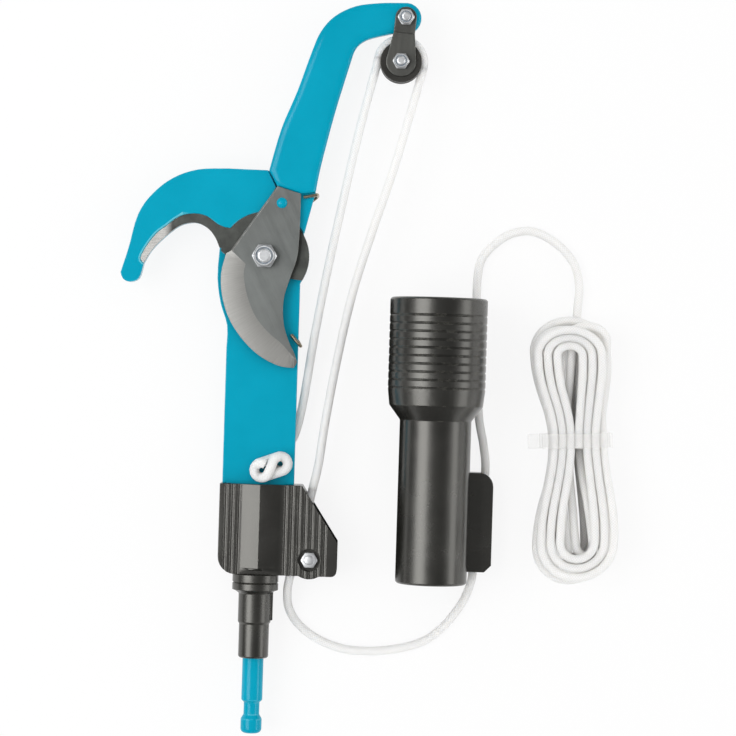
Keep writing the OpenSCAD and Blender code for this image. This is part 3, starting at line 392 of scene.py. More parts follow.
def make_counter_steel(colours):
    """Dark mottled steel that is bright where it was ground, towards the hook's tip."""
    made, tree, shader, place = new_material("counter blade steel")
    grain = use_group(tree, "surface grain", {"Vector": place, "Grain Scale": 420.0, "Cloud Scale": 130.0})
    lines = use_group(tree, "ground lines", {"Vector": place, "Along": 90.0, "Across": 2200.0})
    rub = use_group(tree, "edge rub", {"Vector": place, "Scale": STEEL_RUB})
    across = put(tree, "SeparateXYZ", {0: place}).outputs[0]
    bright = ranged(tree, across, HOOK_GROUND_FROM, HOOK_GROUND_FULL)
    mottled = blended(tree, grain["Cloud"], tinted(colours.counter, 0.72), tinted(colours.counter, 1.4))
    ground = blended(tree, lines["Lines"], GROUND_DARK, GROUND_BRIGHT)
    body = blended(tree, bright, mottled, ground)
    colour = blended(tree, maths(tree, "MULTIPLY", rub["Rub"], 0.5), body, COUNTER_RUBBED)
    gloss = ranged(tree, grain["Grain"], 0.0, 1.0, 0.34, 0.46)
    height = maths(tree, "ADD", grain["Grain"], lines["Lines"])
    finish_shader(tree, shader, colour, gloss, height, 0.01 * MM)
    feed(tree, shader.inputs["Metallic"], ranged(tree, bright, 0.0, 1.0, 0.4, 0.5))
    return made


def make_ground_bevel(colours):
    """Ground steel of the blade's bevel, with grinding marks that run across the edge."""
    made, tree, shader, place = new_material("ground bevel steel")
    centre = put(tree, "VectorMath", {0: place, 1: BEVEL_CENTRE}, operation="SUBTRACT").outputs[0]
    split = put(tree, "SeparateXYZ", {0: centre}).outputs
    turn = maths(tree, "ARCTAN2", split[1], split[0])
    reach = put(tree, "VectorMath", {0: centre}, operation="LENGTH").outputs["Value"]
    way = maths(tree, "MULTIPLY", turn, BEVEL_RADIUS)
    polar = put(tree, "CombineXYZ", {0: reach, 1: way, 2: 0.0}).outputs[0]
    marks = use_group(tree, "ground lines", {"Vector": polar, "Along": 70.0, "Across": 3000.0})
    rub = use_group(tree, "edge rub", {"Vector": place, "Scale": STEEL_RUB})
    base = blended(tree, marks["Lines"], tinted(colours.ground, 0.86), tinted(colours.ground, 1.12))
    colour = blended(tree, maths(tree, "MULTIPLY", rub["Rub"], 0.5), base, tinted(colours.ground, 1.6))
    gloss = ranged(tree, marks["Bands"], 0.0, 1.0, 0.38, 0.5)
    finish_shader(tree, shader, colour, gloss, marks["Lines"], 0.008 * MM, Metallic=0.25)
    return made


def make_rope(colours, sizes):
    """White braided rope with painted warm shade between its strands, crowns painted a little lighter, and fine
    fibres on them.
    """
    made, tree, shader, place = new_material("braided rope")
    around = put(tree, "TexCoord").outputs["UV"]
    braid = use_group(tree, "braid cells", {"UV": around, "Sides": ROPE_SIDES, "Step": sizes.braid_step})
    grain = use_group(tree, "surface grain", {"Vector": place, "Grain Scale": 2600.0, "Cloud Scale": 60.0})
    # Painted shade between the strands, and a painted lighter crown on each strand
    shade = tuple(channel * share for channel, share in zip(colours.rope, ROPE_PAINTED_SHADE)) + (1.0,)
    strands = blended(tree, braid["Crown"], shade, tinted(colours.rope, 1.02))
    fuzz = maths(tree, "MULTIPLY", braid["Fibre"], grain["Grain"])
    colour = blended(tree, maths(tree, "MULTIPLY", fuzz, 0.3), strands, tinted(colours.rope, 1.04))
    rough = ranged(tree, grain["Cloud"], 0.0, 1.0, 0.62, 0.78)
    height = maths(tree, "ADD", braid["Crown"], maths(tree, "MULTIPLY", braid["Fibre"], 0.35))
    finish_shader(
        tree, shader, colour, rough, height, 0.12 * MM,
        Sheen_Weight=0.4, Sheen_Roughness=0.5, Specular_IOR_Level=0.3,
        Subsurface_Weight=0.8, Subsurface_Scale=0.008, Subsurface_Radius=(1.0, 0.96, 0.9),
    )
    return made


def make_nylon(name, colour, **constants):
    """Pale moulded nylon with soft clouds and a fine grain."""
    made, tree, shader, place = new_material(name)
    grain = use_group(tree, "surface grain", {"Vector": place, "Grain Scale": 900.0, "Cloud Scale": 70.0})
    tone = blended(tree, grain["Cloud"], tinted(colour, 0.93), tinted(colour, 1.05))
    gloss = ranged(tree, grain["Cloud"], 0.0, 1.0, 0.38, 0.5)
    finish_shader(
        tree, shader, tone, gloss, grain["Grain"], 0.015 * MM, Specular_IOR_Level=0.4, **constants
    )
    return made


def make_finishes(colours, sizes):
    """All materials, by the names that the operators use."""
    make_surface_grain()
    make_ground_lines()
    make_edge_rub()
    make_braid_cells()
    even = {"Grain Scale": 700.0, "Cloud Scale": 60.0}
    spangled = {"Grain Scale": 900.0, "Cloud Scale": 240.0}
    return {
        "enamel": make_enamel(colours),
        "moulded": make_moulded(colours),
        "blade": make_steel("blade steel", colours.blade, even, lines=1.1, roughness=0.42, metal=0.35),
        "ground": make_ground_bevel(colours),
        "counter": make_counter_steel(colours),
        "zinc": make_steel("zinc plate", colours.zinc, spangled, lines=0.3, roughness=0.38, metal=0.6),
        "strap": make_steel("strap steel", colours.strap, even, lines=1.65, roughness=0.38, metal=0.6),
        "wire": make_steel("spring wire", colours.wire, even, lines=0.0, roughness=0.3, metal=1.0),
        "rope": make_rope(colours, sizes),
        "tie": make_nylon("tie film", colours.tie, Alpha=0.15),
        "roller": make_nylon("roller nylon", colours.roller),
        "insert": make_nylon("lock nut insert", colours.insert),
    }


FINISHES = {}


def joined_copy(node):
    """A bmesh of a CAD node's shape with its triangles joined and its flat faces whole."""
    bm = bmesh.new()
    bm.from_mesh(frame["nodes"][node].data)
    bmesh.ops.remove_doubles(bm, verts=bm.verts[:], dist=JOIN_DISTANCE)
    bmesh.ops.dissolve_limit(bm, angle_limit=FLAT_ANGLE, verts=bm.verts[:], edges=bm.edges[:])
    bm.faces.layers.float.new(EDGE_MARK)
    return bm


def sharp_edges(bm, keep=None):
    """The edges between faces that meet at an angle, and that a test keeps by their middle."""
    found = [e for e in bm.edges if len(e.link_faces) == 2 and e.calc_face_angle() > SHARP_ANGLE]
    if keep is None:
        return found
    return [e for e in found if keep((e.verts[0].co + e.verts[1].co) / 2)]


def round_edges(bm, edges, width, segments=2, wear=1.0):
    """Rounds edges and marks the new faces, so that a finish can wear them; a mark above 1 asks the enamel for a
    painted highlight.
    """
    if not edges:
        return
    made = bmesh.ops.bevel(
        bm, geom=edges, offset=width, offset_type="OFFSET", affect="EDGES", segments=segments,
        profile=0.5, material=-1, clamp_overlap=False, loop_slide=True,
    )
    layer = bm.faces.layers.float[EDGE_MARK]
    for face in made["faces"]:
        face[layer] = wear


def new_piece(name, mesh, materials):
    """An object for a finished mesh, smooth-shaded across its rounded edges."""
    for material in materials:
        mesh.materials.append(material)
    mesh.shade_smooth()
    mesh.set_sharp_from_angle(angle=SHADING_ANGLE)
    piece = bpy.data.objects.new(name, mesh)
    bpy.context.scene.collection.objects.link(piece)
    return piece


def from_bmesh(name, bm):
    """A mesh from a bmesh that is then done with."""
    mesh = bpy.data.meshes.new(name)
    bm.to_mesh(mesh)
    bm.free()
    return mesh


def show_for(piece, node, *others):
    """The piece is shown in the place of CAD nodes, which are hidden."""
    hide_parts(node, *others)
    return piece


def stand_for(piece, node, *others):
    """The piece rides with a CAD node's body and is shown in its place."""
    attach(piece, BODY_OF[node])
    return show_for(piece, node, *others)


def dress(node, bm, *finishes):
    """The finished piece for a CAD node, with flat faces that stay flat in the shading."""
    name = node + "_dressed"
    piece = new_piece(name, from_bmesh(name, bm), [FINISHES[finish] for finish in finishes])
    even = piece.modifiers.new("even shading", "WEIGHTED_NORMAL")
    even.keep_sharp = True
    return stand_for(piece, node)


def dress_rounded(node, finish, width, segments=2):
    """A CAD node with all its sharp edges rounded."""
    bm = joined_copy(node)
    round_edges(bm, sharp_edges(bm), width, segments)
    return dress(node, bm, finish)


PIVOT_BORE = 4.02 * MM
SMALL_BORE = 2.52 * MM
TURNED_STEPS = 60
CORNER_SHARE = 0.985
CHAMFER_SLOPE = math.tan(math.radians(30))
FOOT_WIDTH = 0.3 * MM
FOOT_HEIGHT = 0.2 * MM
THREAD_CHAMFER = 0.4 * MM
LOCK_FACE = 0.97
LOCK_WAIST = 0.6
LOCK_SINK = 0.16
# Share of the apothem, and share of the height below the top
LOCK_COLLAR = ((0.94, 0.12), (0.91, 0.04), (0.86, 0.0), (0.79, 0.0), (0.76, 0.05), (0.76, LOCK_SINK))
PLAIN_FACE = 0.95
SCREW_FACE = 0.93
SCREW_DOME = 0.66
SCREW_RISE = 0.45 * MM


def turned(profile, centre, closed):
    """A body turned about an upright axis from a line of radii and heights."""
    bm = bmesh.new()
    bm.faces.layers.float.new(EDGE_MARK)
    row = [bm.verts.new((centre.x + radius, centre.y, height)) for radius, height in profile]
    line = [bm.edges.new(pair) for pair in zip(row, row[1:] + row[:1] if closed else row[1:])]
    bmesh.ops.spin(
        bm, geom=row + line, cent=(centre.x, centre.y, 0.0), axis=(0.0, 0.0, 1.0),
        angle=2 * math.pi, steps=TURNED_STEPS, use_merge=True,
    )
    bmesh.ops.remove_doubles(bm, verts=bm.verts[:], dist=JOIN_DISTANCE)
    bmesh.ops.recalc_face_normals(bm, faces=bm.faces[:])
    return bm


def cut_flats(bm, centre, apothem):
    """Cuts the six flats of a hexagon on a turned body."""
    for side in range(6):
        turn = math.radians(30 + 60 * side)
        way = Vector((math.cos(turn), math.sin(turn), 0.0))
        everything = bm.verts[:] + bm.edges[:] + bm.faces[:]
        made = bmesh.ops.bisect_plane(
            bm, geom=everything, plane_co=centre + apothem * way, plane_no=way, clear_outer=True
        )
        rim = [e for e in made["geom_cut"] if isinstance(e, bmesh.types.BMEdge)]
        bmesh.ops.contextual_create(bm, geom=rim)
    bmesh.ops.recalc_face_normals(bm, faces=bm.faces[:])


def chamfered(corner, face, top):
    """The outer line of a hexagon's chamfer, from its corners to its face."""
    return [(corner, top - (corner - face) * CHAMFER_SLOPE), (face, top)]


def broken_foot(corner, bottom):
    """The outer line of a hexagon's lower edge."""
    return [(corner - FOOT_WIDTH, bottom), (corner, bottom + FOOT_HEIGHT)]


def hexagon_of(node):
    """Centre of a hexagonal node, its apothem and how far out its rounded corners are."""
    low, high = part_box(node)
    return (low + high) / 2, (high.y - low.y) / 2, (high.x - low.x) / 2 * CORNER_SHARE


def dress_nut(node, bore, locking):
    """A hexagon nut with chamfered corners. A lock nut has a round collar over a nylon ring."""
    low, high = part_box(node)
    centre, apothem, corner = hexagon_of(node)
    tall = high.z - low.z
    ring = high.z - tall * LOCK_SINK
    line = [(bore, low.z)] + broken_foot(corner, low.z)
    if locking:
        line += chamfered(corner, apothem * LOCK_FACE, low.z + tall * LOCK_WAIST)
        line += [(apothem * out, high.z - tall * down) for out, down in LOCK_COLLAR]
        line += [(bore, ring)]
    else:
        line += chamfered(corner, apothem * PLAIN_FACE, high.z)
        line += [(bore + THREAD_CHAMFER, high.z), (bore, high.z - THREAD_CHAMFER)]
    bm = turned(line, centre, True)
    cut_flats(bm, centre, apothem)
    for face in bm.faces:
        sunk = abs(face.calc_center_median().z - ring) < ON_FACE and face.normal.z > 0.9
        face.material_index = 1 if locking and sunk else 0
    return dress(node, bm, "zinc", "insert")


def dress_bolt(node, dome, sizes):
    """A bolt with a domed end in front and rounded edges elsewhere."""
    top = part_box(node)[1].z - ON_FACE
    bm = joined_copy(node)
    round_edges(bm, sharp_edges(bm, lambda middle: middle.z > top), dome, segments=4)
    round_edges(bm, sharp_edges(bm), sizes.small_round)
    return dress(node, bm, "zinc")


def dress_hex_screw(node, shank, head):
    """A screw with a hexagon head that has a low dome on it."""
    low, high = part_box(node)
    centre, apothem, corner = hexagon_of(node)
    seat = high.z - head
    line = [(0.0, low.z), (shank - THREAD_CHAMFER, low.z), (shank, low.z + THREAD_CHAMFER), (shank, seat)]
    line += broken_foot(corner, seat)
    line += chamfered(corner, apothem * SCREW_FACE, high.z)
    for share in (0.0, 0.25, 0.5, 0.75):
        turn = math.pi / 2 * share
        line.append((apothem * SCREW_DOME * math.cos(turn), high.z + SCREW_RISE * math.sin(turn)))
    line.append((0.0, high.z + SCREW_RISE))
    bm = turned(line, centre, False)
    cut_flats(bm, centre, apothem)
    return dress(node, bm, "zinc")


def distances(points):
    """How far along a line each of its points is."""
    return np.concatenate([[0.0], np.cumsum(np.linalg.norm(np.diff(points, axis=0), axis=1))])


def even_path(points, spacing):
    """Points along a line at even steps."""
    points = np.asarray(points, float)
    along = distances(points)
    count = max(2, int(round(along[-1] / spacing))) + 1
    places = np.linspace(0.0, along[-1], count)
    return np.column_stack([np.interp(places, along, points[:, axis]) for axis in range(3)])


def smooth_path(points, spacing, steps_between=24):
    """A smooth line through points, at even steps."""
    points = np.asarray(points, float)
    ends = np.vstack([2 * points[0] - points[1], points, 2 * points[-1] - points[-2]])
    share = np.linspace(0.0, 1.0, steps_between, endpoint=False)[:, None]
    line = []
    for a, b, c, d in zip(ends, ends[1:], ends[2:], ends[3:]):
        bend = (2 * a - 5 * b + 4 * c - d) * share**2 + (3 * b - a - 3 * c + d) * share**3
        line.append(0.5 * (2 * b + (c - a) * share + bend))
    line.append(points[-1:])
    return even_path(np.vstack(line), spacing)


def ring_axes(points):
    """For each point of a line, two axes across it that don't twist along the line."""
    heading = np.gradient(points, axis=0)
    heading /= np.linalg.norm(heading, axis=1)[:, None]
    side = np.cross(heading[0], (0.0, 0.0, 1.0))
    if np.linalg.norm(side) < 0.1:
        side = np.cross(heading[0], (1.0, 0.0, 0.0))
    sides = []
    for way in heading:
        side = side - way * (side @ way)
        side = side / np.linalg.norm(side)
        sides.append(side)
    sides = np.array(sides)
    return sides, np.cross(heading, sides)


def tube_mesh(name, points, radius, sides, relief=0.0):
    """A closed tube along points. With relief, neighbouring points stand out and in as in a braid."""
    across, up = ring_axes(points)
    rings = len(points)
    turn = np.linspace(0.0, 2 * math.pi, sides, endpoint=False)
    sunk = (np.arange(rings)[:, None] + np.arange(sides)[None, :]) % 2
    reach = radius - relief * sunk
    ways = np.cos(turn)[None, :, None] * across[:, None, :] + np.sin(turn)[None, :, None] * up[:, None, :]
    vertices = (points[:, None, :] + reach[:, :, None] * ways).reshape(-1, 3)
    ring, side = np.meshgrid(np.arange(rings - 1), np.arange(sides), indexing="ij")
    beside = (side + 1) % sides
    here = ring * sides
    after = here + sides
    quads = np.stack([here + side, here + beside, after + beside, after + side], -1).reshape(-1, 4)
    caps = [list(range(sides))[::-1], list(range((rings - 1) * sides, rings * sides))]
    mesh = bpy.data.meshes.new(name)
    mesh.from_pydata(vertices.tolist(), [], quads.tolist() + caps)
    along = distances(points)
    u = np.stack([side, side + 1, side + 1, side], -1) / sides
    v = np.stack([along[ring], along[ring], along[ring + 1], along[ring + 1]], -1)
    places = np.concatenate([np.stack([u, v], -1).reshape(-1), np.zeros(4 * sides)])
    mesh.uv_layers.new(name="rope").data.foreach_set("uv", places.astype(np.float32))
    mesh.update()
    return mesh


PULLEY_AT = sum(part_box("pulley"), Vector()) / 2
WRAP_RADIUS = 12.5 * MM
WRAP_STEPS = 60
UP_TURN = math.radians(169.7)
DOWN_TURN = math.radians(-12.9)

# The rope's routes, in millimetres, as its solids have them
UP_ROUTE = (
    (8.6, 106.2, -5.2), (14, 113.5, -5.2), (19, 122, -5.2), (23, 140, -4.4), (27.5, 172, -2.4),
    (33.5, 208, 0), (41.5, 250, 3), (49, 287, 5),
)
DOWN_ROUTE = (
    (75.5, 294, 5.4), (68, 266, 4), (58, 234, 2.6), (48.5, 201, 1.4), (41.5, 167, 0.6),
    (35.5, 130, 0.2), (32.4, 106, 0),
)
SLACK_ROUTE = (
    (29.5, 92, 0), (27, 80, 0), (23.5, 66, 0), (21.2, 54, 0), (18.6, 44, -0.4), (17.4, 36, -4.2),
    (18, 28, -9), (21.5, 20.5, -11.4), (28, 14, -11.6), (37.5, 8.5, -11.6), (48.5, 5, -11.6),
    (60, 4, -11.6), (71.5, 4.8, -11.6), (84, 7.2, -11.6), (94.5, 11.5, -11.6), (103, 18.5, -11.6),
    (109.5, 26.5, -11.4), (114.6, 35, -10.6), (117.7, 44, -10.2),
)
# The last point of the slack run that stays with the head
SLACK_HELD = 8
FIN_ROPE_LOW = Vector((118.4, 50, -10.1))
FIN_ROPE_LEAN = Vector((5.2, 54, 0))
FIN_ROPE_GAP = 0.4
GRIP_ROUTE = (
    (122.4, 118, -11), (119.6, 132, -11.6), (118.2, 148, -11.6), (117.2, 164, -11.6), (116.6, 180, -11.6),
    (116.2, 196, -11.6), (116.2, 209, -11.6), (118, 220, -11.6), (124.2, 228.4, -11.6),
    (133.5, 234.8, -11.6), (144, 236.9, -11.6), (154, 233.6, -11.6), (163.2, 226.8, -11.6),
    (169.6, 218.2, -11.6), (172.2, 207, -11.6), (171.6, 196, -11.6), (171.2, 184, -11.6),
    (171.4, 170, -11.6), (171.9, 155, -11.4),
)


def metres(route):
    """Points of a route in millimetres, in metres."""
    return [Vector(point) * MM for point in route]


def on_wrap(turn):
    """Where the rope's centre lies on the pulley."""
    return PULLEY_AT + WRAP_RADIUS * Vector((math.cos(turn), math.sin(turn), 0.0))


def off_wrap(turn, side):
    """A rope's width from there, along the straight run."""
    return on_wrap(turn) + side * ROPE_WIDTH * Vector((-math.sin(turn), math.cos(turn), 0.0))


def rope_piece(node, points, sizes, swell=1.0):
    """A braided rope along points, swollen where it is knotted."""
    name = node + "_dressed"
    mesh = tube_mesh(name, points, swell * sizes.rope_width / 2, ROPE_SIDES, sizes.braid_relief)
    return new_piece(name, mesh, [FINISHES["rope"]])


def draw_in(piece):
    """Gives a run that the pulley block carries a mesh of its own."""
    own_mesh(piece)


def eased(share):
    """A smooth step from 0 to 1."""
    held = min(1.0, max(0.0, share))
    return held * held * (3 - 2 * held)


# The knot, in millimetres
KNOT_AT = Vector((6.9, 104.1, 0.0))
KNOT_LEAN = math.radians(20.4)
KNOT_SWELL = 1.12
KNOT_STEPS = 16
KNOT_SPREAD = 5.3
KNOT_RADIUS = 4.0
KNOT_LOW = 5.2
KNOT_LAYER = 3.4
HOLE_ROUTE = ((8.3, 105.8, -5.2), (7.4, 104.7, -4.2), (7.0, 104.2, -1.5), (6.9, 104.1, 1.2))


def knot_points():
    """A stopper knot on the frame's face: up through the rope hole, once round, then a figure of eight."""
    upper = KNOT_LOW + KNOT_LAYER
    cross = math.asin(KNOT_RADIUS / KNOT_SPREAD)
    sweep = math.pi + 2 * cross
    shares = [step / KNOT_STEPS for step in range(KNOT_STEPS + 1)]
    flat = [(0.5, -0.6, KNOT_LOW - 1.4), (2.8, -3.2, KNOT_LOW - 0.2)]

    def on_loop(side, turn, height):
        across = side * KNOT_SPREAD + KNOT_RADIUS * math.cos(turn)
        flat.append((across, KNOT_RADIUS * math.sin(turn), height))

    for share in shares:
        on_loop(1, math.pi * (share - 0.5), KNOT_LOW)
    for share in shares:
        on_loop(-1, math.pi * (share + 0.5), KNOT_LOW + 0.5 * KNOT_LAYER * share)
    for share in shares:
        climb = 0.75 * eased((share - 0.62) / 0.38)
        on_loop(1, math.pi * 1.5 + (sweep - cross) * share, upper + KNOT_LAYER * climb)
    flat.append((0.0, 0.0, upper + KNOT_LAYER))
    for share in shares:
        climb = 0.85 * max(1 - eased(share / 0.38), eased((share - 0.6) / 0.34))
        on_loop(-1, cross - math.pi / 2 - sweep * share, upper + KNOT_LAYER * climb)
    lean = Matrix.Rotation(KNOT_LEAN, 3, "Z")
    return metres(HOLE_ROUTE) + metres(KNOT_AT + lean @ Vector(point) for point in flat)


# The hank, in millimetres about its tie
HANK_AT = Vector((172.0, 123.9, 0.0))
HANK_LEAN = math.radians(3.0)
LAYER_PITCH = 5.3
HANK_LENGTH = 151.0
HANK_WIDTH = 47.0
HANK_WAIST = 33.4
RUN_SHARE = 0.15
CAP_AT = 49.0
HANK_LOW = -10.1
TOP_SHARE = 0.9
LOW_SHARE = 1.1
LEAD_LIFT = 4.2
LIFT_FROM = 22.0
LIFT_OVER = 24.0
RINGS_PER_LOOP = 40
TIE_ROUND = 0.5 * MM
# Steps and leans in millimetres, reach and pinch as shares
HankLayer = collections.namedtuple(
    "HankLayer", "start turns loop_step waist_step lean_top lean_low reach pinch"
)
HANK_LAYERS = (
    HankLayer(0, 3, 5.2, 4.4, -3.0, -3.2, 0.0, 0.0),
    HankLayer(3, 2, 7.8, 6.4, -6.4, -6.0, -0.02, 0.0),
    HankLayer(5, 2, 7.8, 6.4, 6.8, 5.0, -0.05, 0.38),
    HankLayer(7, 3, 5.2, 4.4, -3.8, -2.0, -0.06, 0.0),
)
HANK_TURNS = HANK_LAYERS[-1].start + HANK_LAYERS[-1].turns


def layer_at(turn):
    """Number of the layer that a place on the hank belongs to."""
    return max(number for number, layer in enumerate(HANK_LAYERS) if turn >= layer.start)


def loops_in(turn):
    """How many loops a place on the hank lies inside the outermost one."""
    number = layer_at(turn)
    done = turn - HANK_LAYERS[number].start
    return HANK_LAYERS[number].turns - done if number % 2 == 0 else done


def layers_up(turn):
    """How many layers up a place on the hank lies."""
    return sum(eased((turn - layer.start + RUN_SHARE) / (2 * RUN_SHARE)) for layer in HANK_LAYERS[1:])


def run_point(waist, loop, share, side):
    """A point of the runs between the hank's ends, which draw in at the waist."""
    width = waist + (loop - waist) * (1 - math.cos(math.pi * abs(share))) / 2
    return Vector((side * width, share * CAP_AT, 0.0))


def end_point(loop, cap, share):
    """A point of a loop's round end: straight sides, then half a circle."""
    side = max(cap - loop, 0.0)
    way = share * (2 * side + math.pi * loop)
    angle = min(max((way - side) / loop, 0.0), math.pi)
    straight = min(way, side, 2 * side + math.pi * loop - way)
    return Vector((loop * math.cos(angle), straight + min(loop, cap) * math.sin(angle), 0.0))


def loop_point(turn):
    """A point of the hank about its own middle, in millimetres."""
    share = turn - math.floor(turn)
    inside = loops_in(turn)
    layer = HANK_LAYERS[layer_at(turn)]
    rope = ROPE_WIDTH / MM / 2
    waist = HANK_WAIST / 2 - rope - inside * layer.waist_step
    loop = (HANK_WIDTH / 2 - rope - inside * layer.loop_step) * (1 - layer.pinch)
    cap = HANK_LENGTH / 2 - rope - CAP_AT - inside * layer.loop_step
    if share < RUN_SHARE:
        return run_point(waist, loop, -share / RUN_SHARE, 1)
    if share < 0.5 - RUN_SHARE:
        bend = end_point(loop, cap, (share - RUN_SHARE) / (0.5 - 2 * RUN_SHARE))
        return Vector((bend.x, -CAP_AT - bend.y, 0.0))
    if share < 0.5 + RUN_SHARE:
        return run_point(waist, loop, (share - 0.5) / RUN_SHARE, -1)
    if share < 1 - RUN_SHARE:
        bend = end_point(loop, cap, (share - 0.5 - RUN_SHARE) / (0.5 - 2 * RUN_SHARE))
        return Vector((-bend.x, CAP_AT + bend.y, 0.0))
    return run_point(waist, loop, (1 - share) / RUN_SHARE, 1)


def hank_point(turn):
    """A point of the hank in the frame, in millimetres.

    Each layer's loops lie a little off the others, the tie sits above the middle, and the upper ends of the
    loops lie on the rope that leads in.
    """
    point = loop_point(turn)
    layer = HANK_LAYERS[layer_at(turn)]
    end = abs(point.y) / (HANK_LENGTH / 2)
    point.x += (layer.lean_top if point.y > 0 else layer.lean_low) * end * eased(2 * end)
    point.y *= (1 + layer.reach * end**2) * (TOP_SHARE if point.y > 0 else LOW_SHARE)
    point.z = HANK_LOW + LAYER_PITCH * layers_up(turn) + LEAD_LIFT * eased((point.y - LIFT_FROM) / LIFT_OVER)
    return HANK_AT + Matrix.Rotation(HANK_LEAN, 3, "Z") @ point


def hank_points():
    """The hank from the rope that leads in to its tail under the tie, in millimetres."""
    count = HANK_TURNS * RINGS_PER_LOOP
    return [hank_point(HANK_TURNS * step / count) for step in range(count + 1)]


def hooked_end(hook, touch, end, level, face):
    """A spring leg's hooked end in millimetres: its tip on a face, round the edge, to the leg behind."""
    over = (end - hook).normalized()
    back = (touch - hook).normalized()
    places = (
        (end, face), (hook + 2.6 * over, face), (hook + 0.8 * over, face - 0.2), (hook, face - 1.2),
        (hook, level + 2.2), (hook + 0.6 * back, level + 0.6), (hook + 2.2 * back, level),
        (hook + 8 * back, level),
    )
    return [Vector((place.x, place.y, height)) for place, height in places]


def spring_points():
    """The return spring's wire from its hook on the bar, round the coil, to its hook on the arm."""
    coil = 8.2
    full_turns = 2
    steps_per_turn = 24
    top = -3.7
    bottom = -8.8
    bar_face = 3.7
    arm_face = 6.9
    bar_hook = Vector((20.7, -48.0))
    bar_tip = bar_hook + Vector((-5.2, 6.0))
    arm_hook = Vector((27.4, 34.1))
    arm_tip = arm_hook + Vector((-7.3, -1.6))
    bar_turn = math.atan2(bar_hook.y, bar_hook.x) - math.acos(coil / bar_hook.length) + 2 * math.pi
    arm_turn = math.atan2(arm_hook.y, arm_hook.x) + math.acos(coil / arm_hook.length)
    turns = full_turns + (bar_turn - arm_turn) / (2 * math.pi)
    steps = int(turns * steps_per_turn)
    wound = []
    for step in range(steps + 1):
        share = step / steps
        angle = bar_turn - share * turns * 2 * math.pi
        wound.append(Vector((coil * math.cos(angle), coil * math.sin(angle), top + (bottom - top) * share)))
    points = hooked_end(bar_hook, wound[0].xy, bar_tip, top, bar_face)
    points += wound + hooked_end(arm_hook, wound[-1].xy, arm_tip, bottom, arm_face)[::-1]
    return [point * MM + Vector((PIVOT.x, PIVOT.y, 0.0)) for point in points]


HOOK_FROM_PIVOT = 43 * MM
# Edge mark of the hook's seat edge, which the enamel paints as a pale highlight line
SEAT_HIGHLIGHT = 1.8
TANG_HEEL = PIVOT + Vector((-18.6, 2.4, 0.0)) * MM
TANG_END = PIVOT + Vector((5.7, 38.0, 0.0)) * MM
TANG_BREAK = 0.9 * MM
TANG_NEAR = 0.3 * MM
BEVEL_SLANT = (0.3, 0.9995)


def seen_from_above(vertex):
    """A vertex's place in the plan, to a hundredth of a millimetre."""
    return round(vertex.co.x, 5), round(vertex.co.y, 5)


class PRUNER_OT_frame(bpy.types.Operator):
    """Paints the frame with its hook, and sets the dark counter blade in it"""

    bl_idname = "pruner.frame"
    bl_label = "Frame and counter blade"

    def execute(self, context):
        sizes = context.scene.pruner_sizes
        bm = joined_copy("frame")
        seat = {seen_from_above(v) for v in frame["nodes"]["counter_blade"].data.vertices}
        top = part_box("frame")[1].z - ON_FACE
        hook_end = PIVOT.x - HOOK_FROM_PIVOT
        upper = sharp_edges(bm, lambda middle: middle.z > top and middle.x < hook_end)
        held = [e for e in upper if all(seen_from_above(v) in seat for v in e.verts)]
        # The seat edge's mark paints a pale highlight line along it in the enamel
        round_edges(bm, held, sizes.seat_round, segments=4, wear=SEAT_HIGHLIGHT)
        round_edges(bm, sharp_edges(bm), sizes.plate_round, segments=3)
        dress("frame", bm, "enamel")
        dress_rounded("counter_blade", "counter", sizes.blade_round)
        return {"FINISHED"}


class PRUNER_OT_blade(bpy.types.Operator):
    """Grinds the blade's bevel and breaks the edge of its tang"""

    bl_idname = "pruner.blade"
    bl_label = "Blade"

    def execute(self, context):
        sizes = context.scene.pruner_sizes
        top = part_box("blade")[1].z - ON_FACE
        bm = joined_copy("blade")
        along = (TANG_END - TANG_HEEL).xy.normalized()
        length = (TANG_END - TANG_HEEL).length

        def on_tang_edge(middle):
            away = (middle - TANG_HEEL).xy
            beside = abs(away.x * along.y - away.y * along.x) < TANG_NEAR
            between = 0 < away.dot(along) < length
            return beside and between and middle.z > top

        round_edges(bm, sharp_edges(bm, on_tang_edge), TANG_BREAK, segments=1)
        round_edges(bm, sharp_edges(bm), sizes.blade_round, segments=1)
        bm.normal_update()
        for face in bm.faces:
            slanted = BEVEL_SLANT[0] < face.normal.z < BEVEL_SLANT[1]
            face.material_index = 1 if slanted else 0
        dress("blade", bm, "blade", "ground")
        return {"FINISHED"}


def edge_loops(edges):
    """Edges sorted into closed loops, the longest first."""
    left = set(edges)
    loops = []
    while left:
        loop = [left.pop()]
        growing = True
        while growing:
            ends = {v for e in loop for v in e.verts}
            more = [e for e in left if ends & set(e.verts)]
            loop += more
            left -= set(more)
            growing = bool(more)
        loops.append(loop)
    return sorted(loops, key=lambda loop: -sum(e.calc_length() for e in loop))


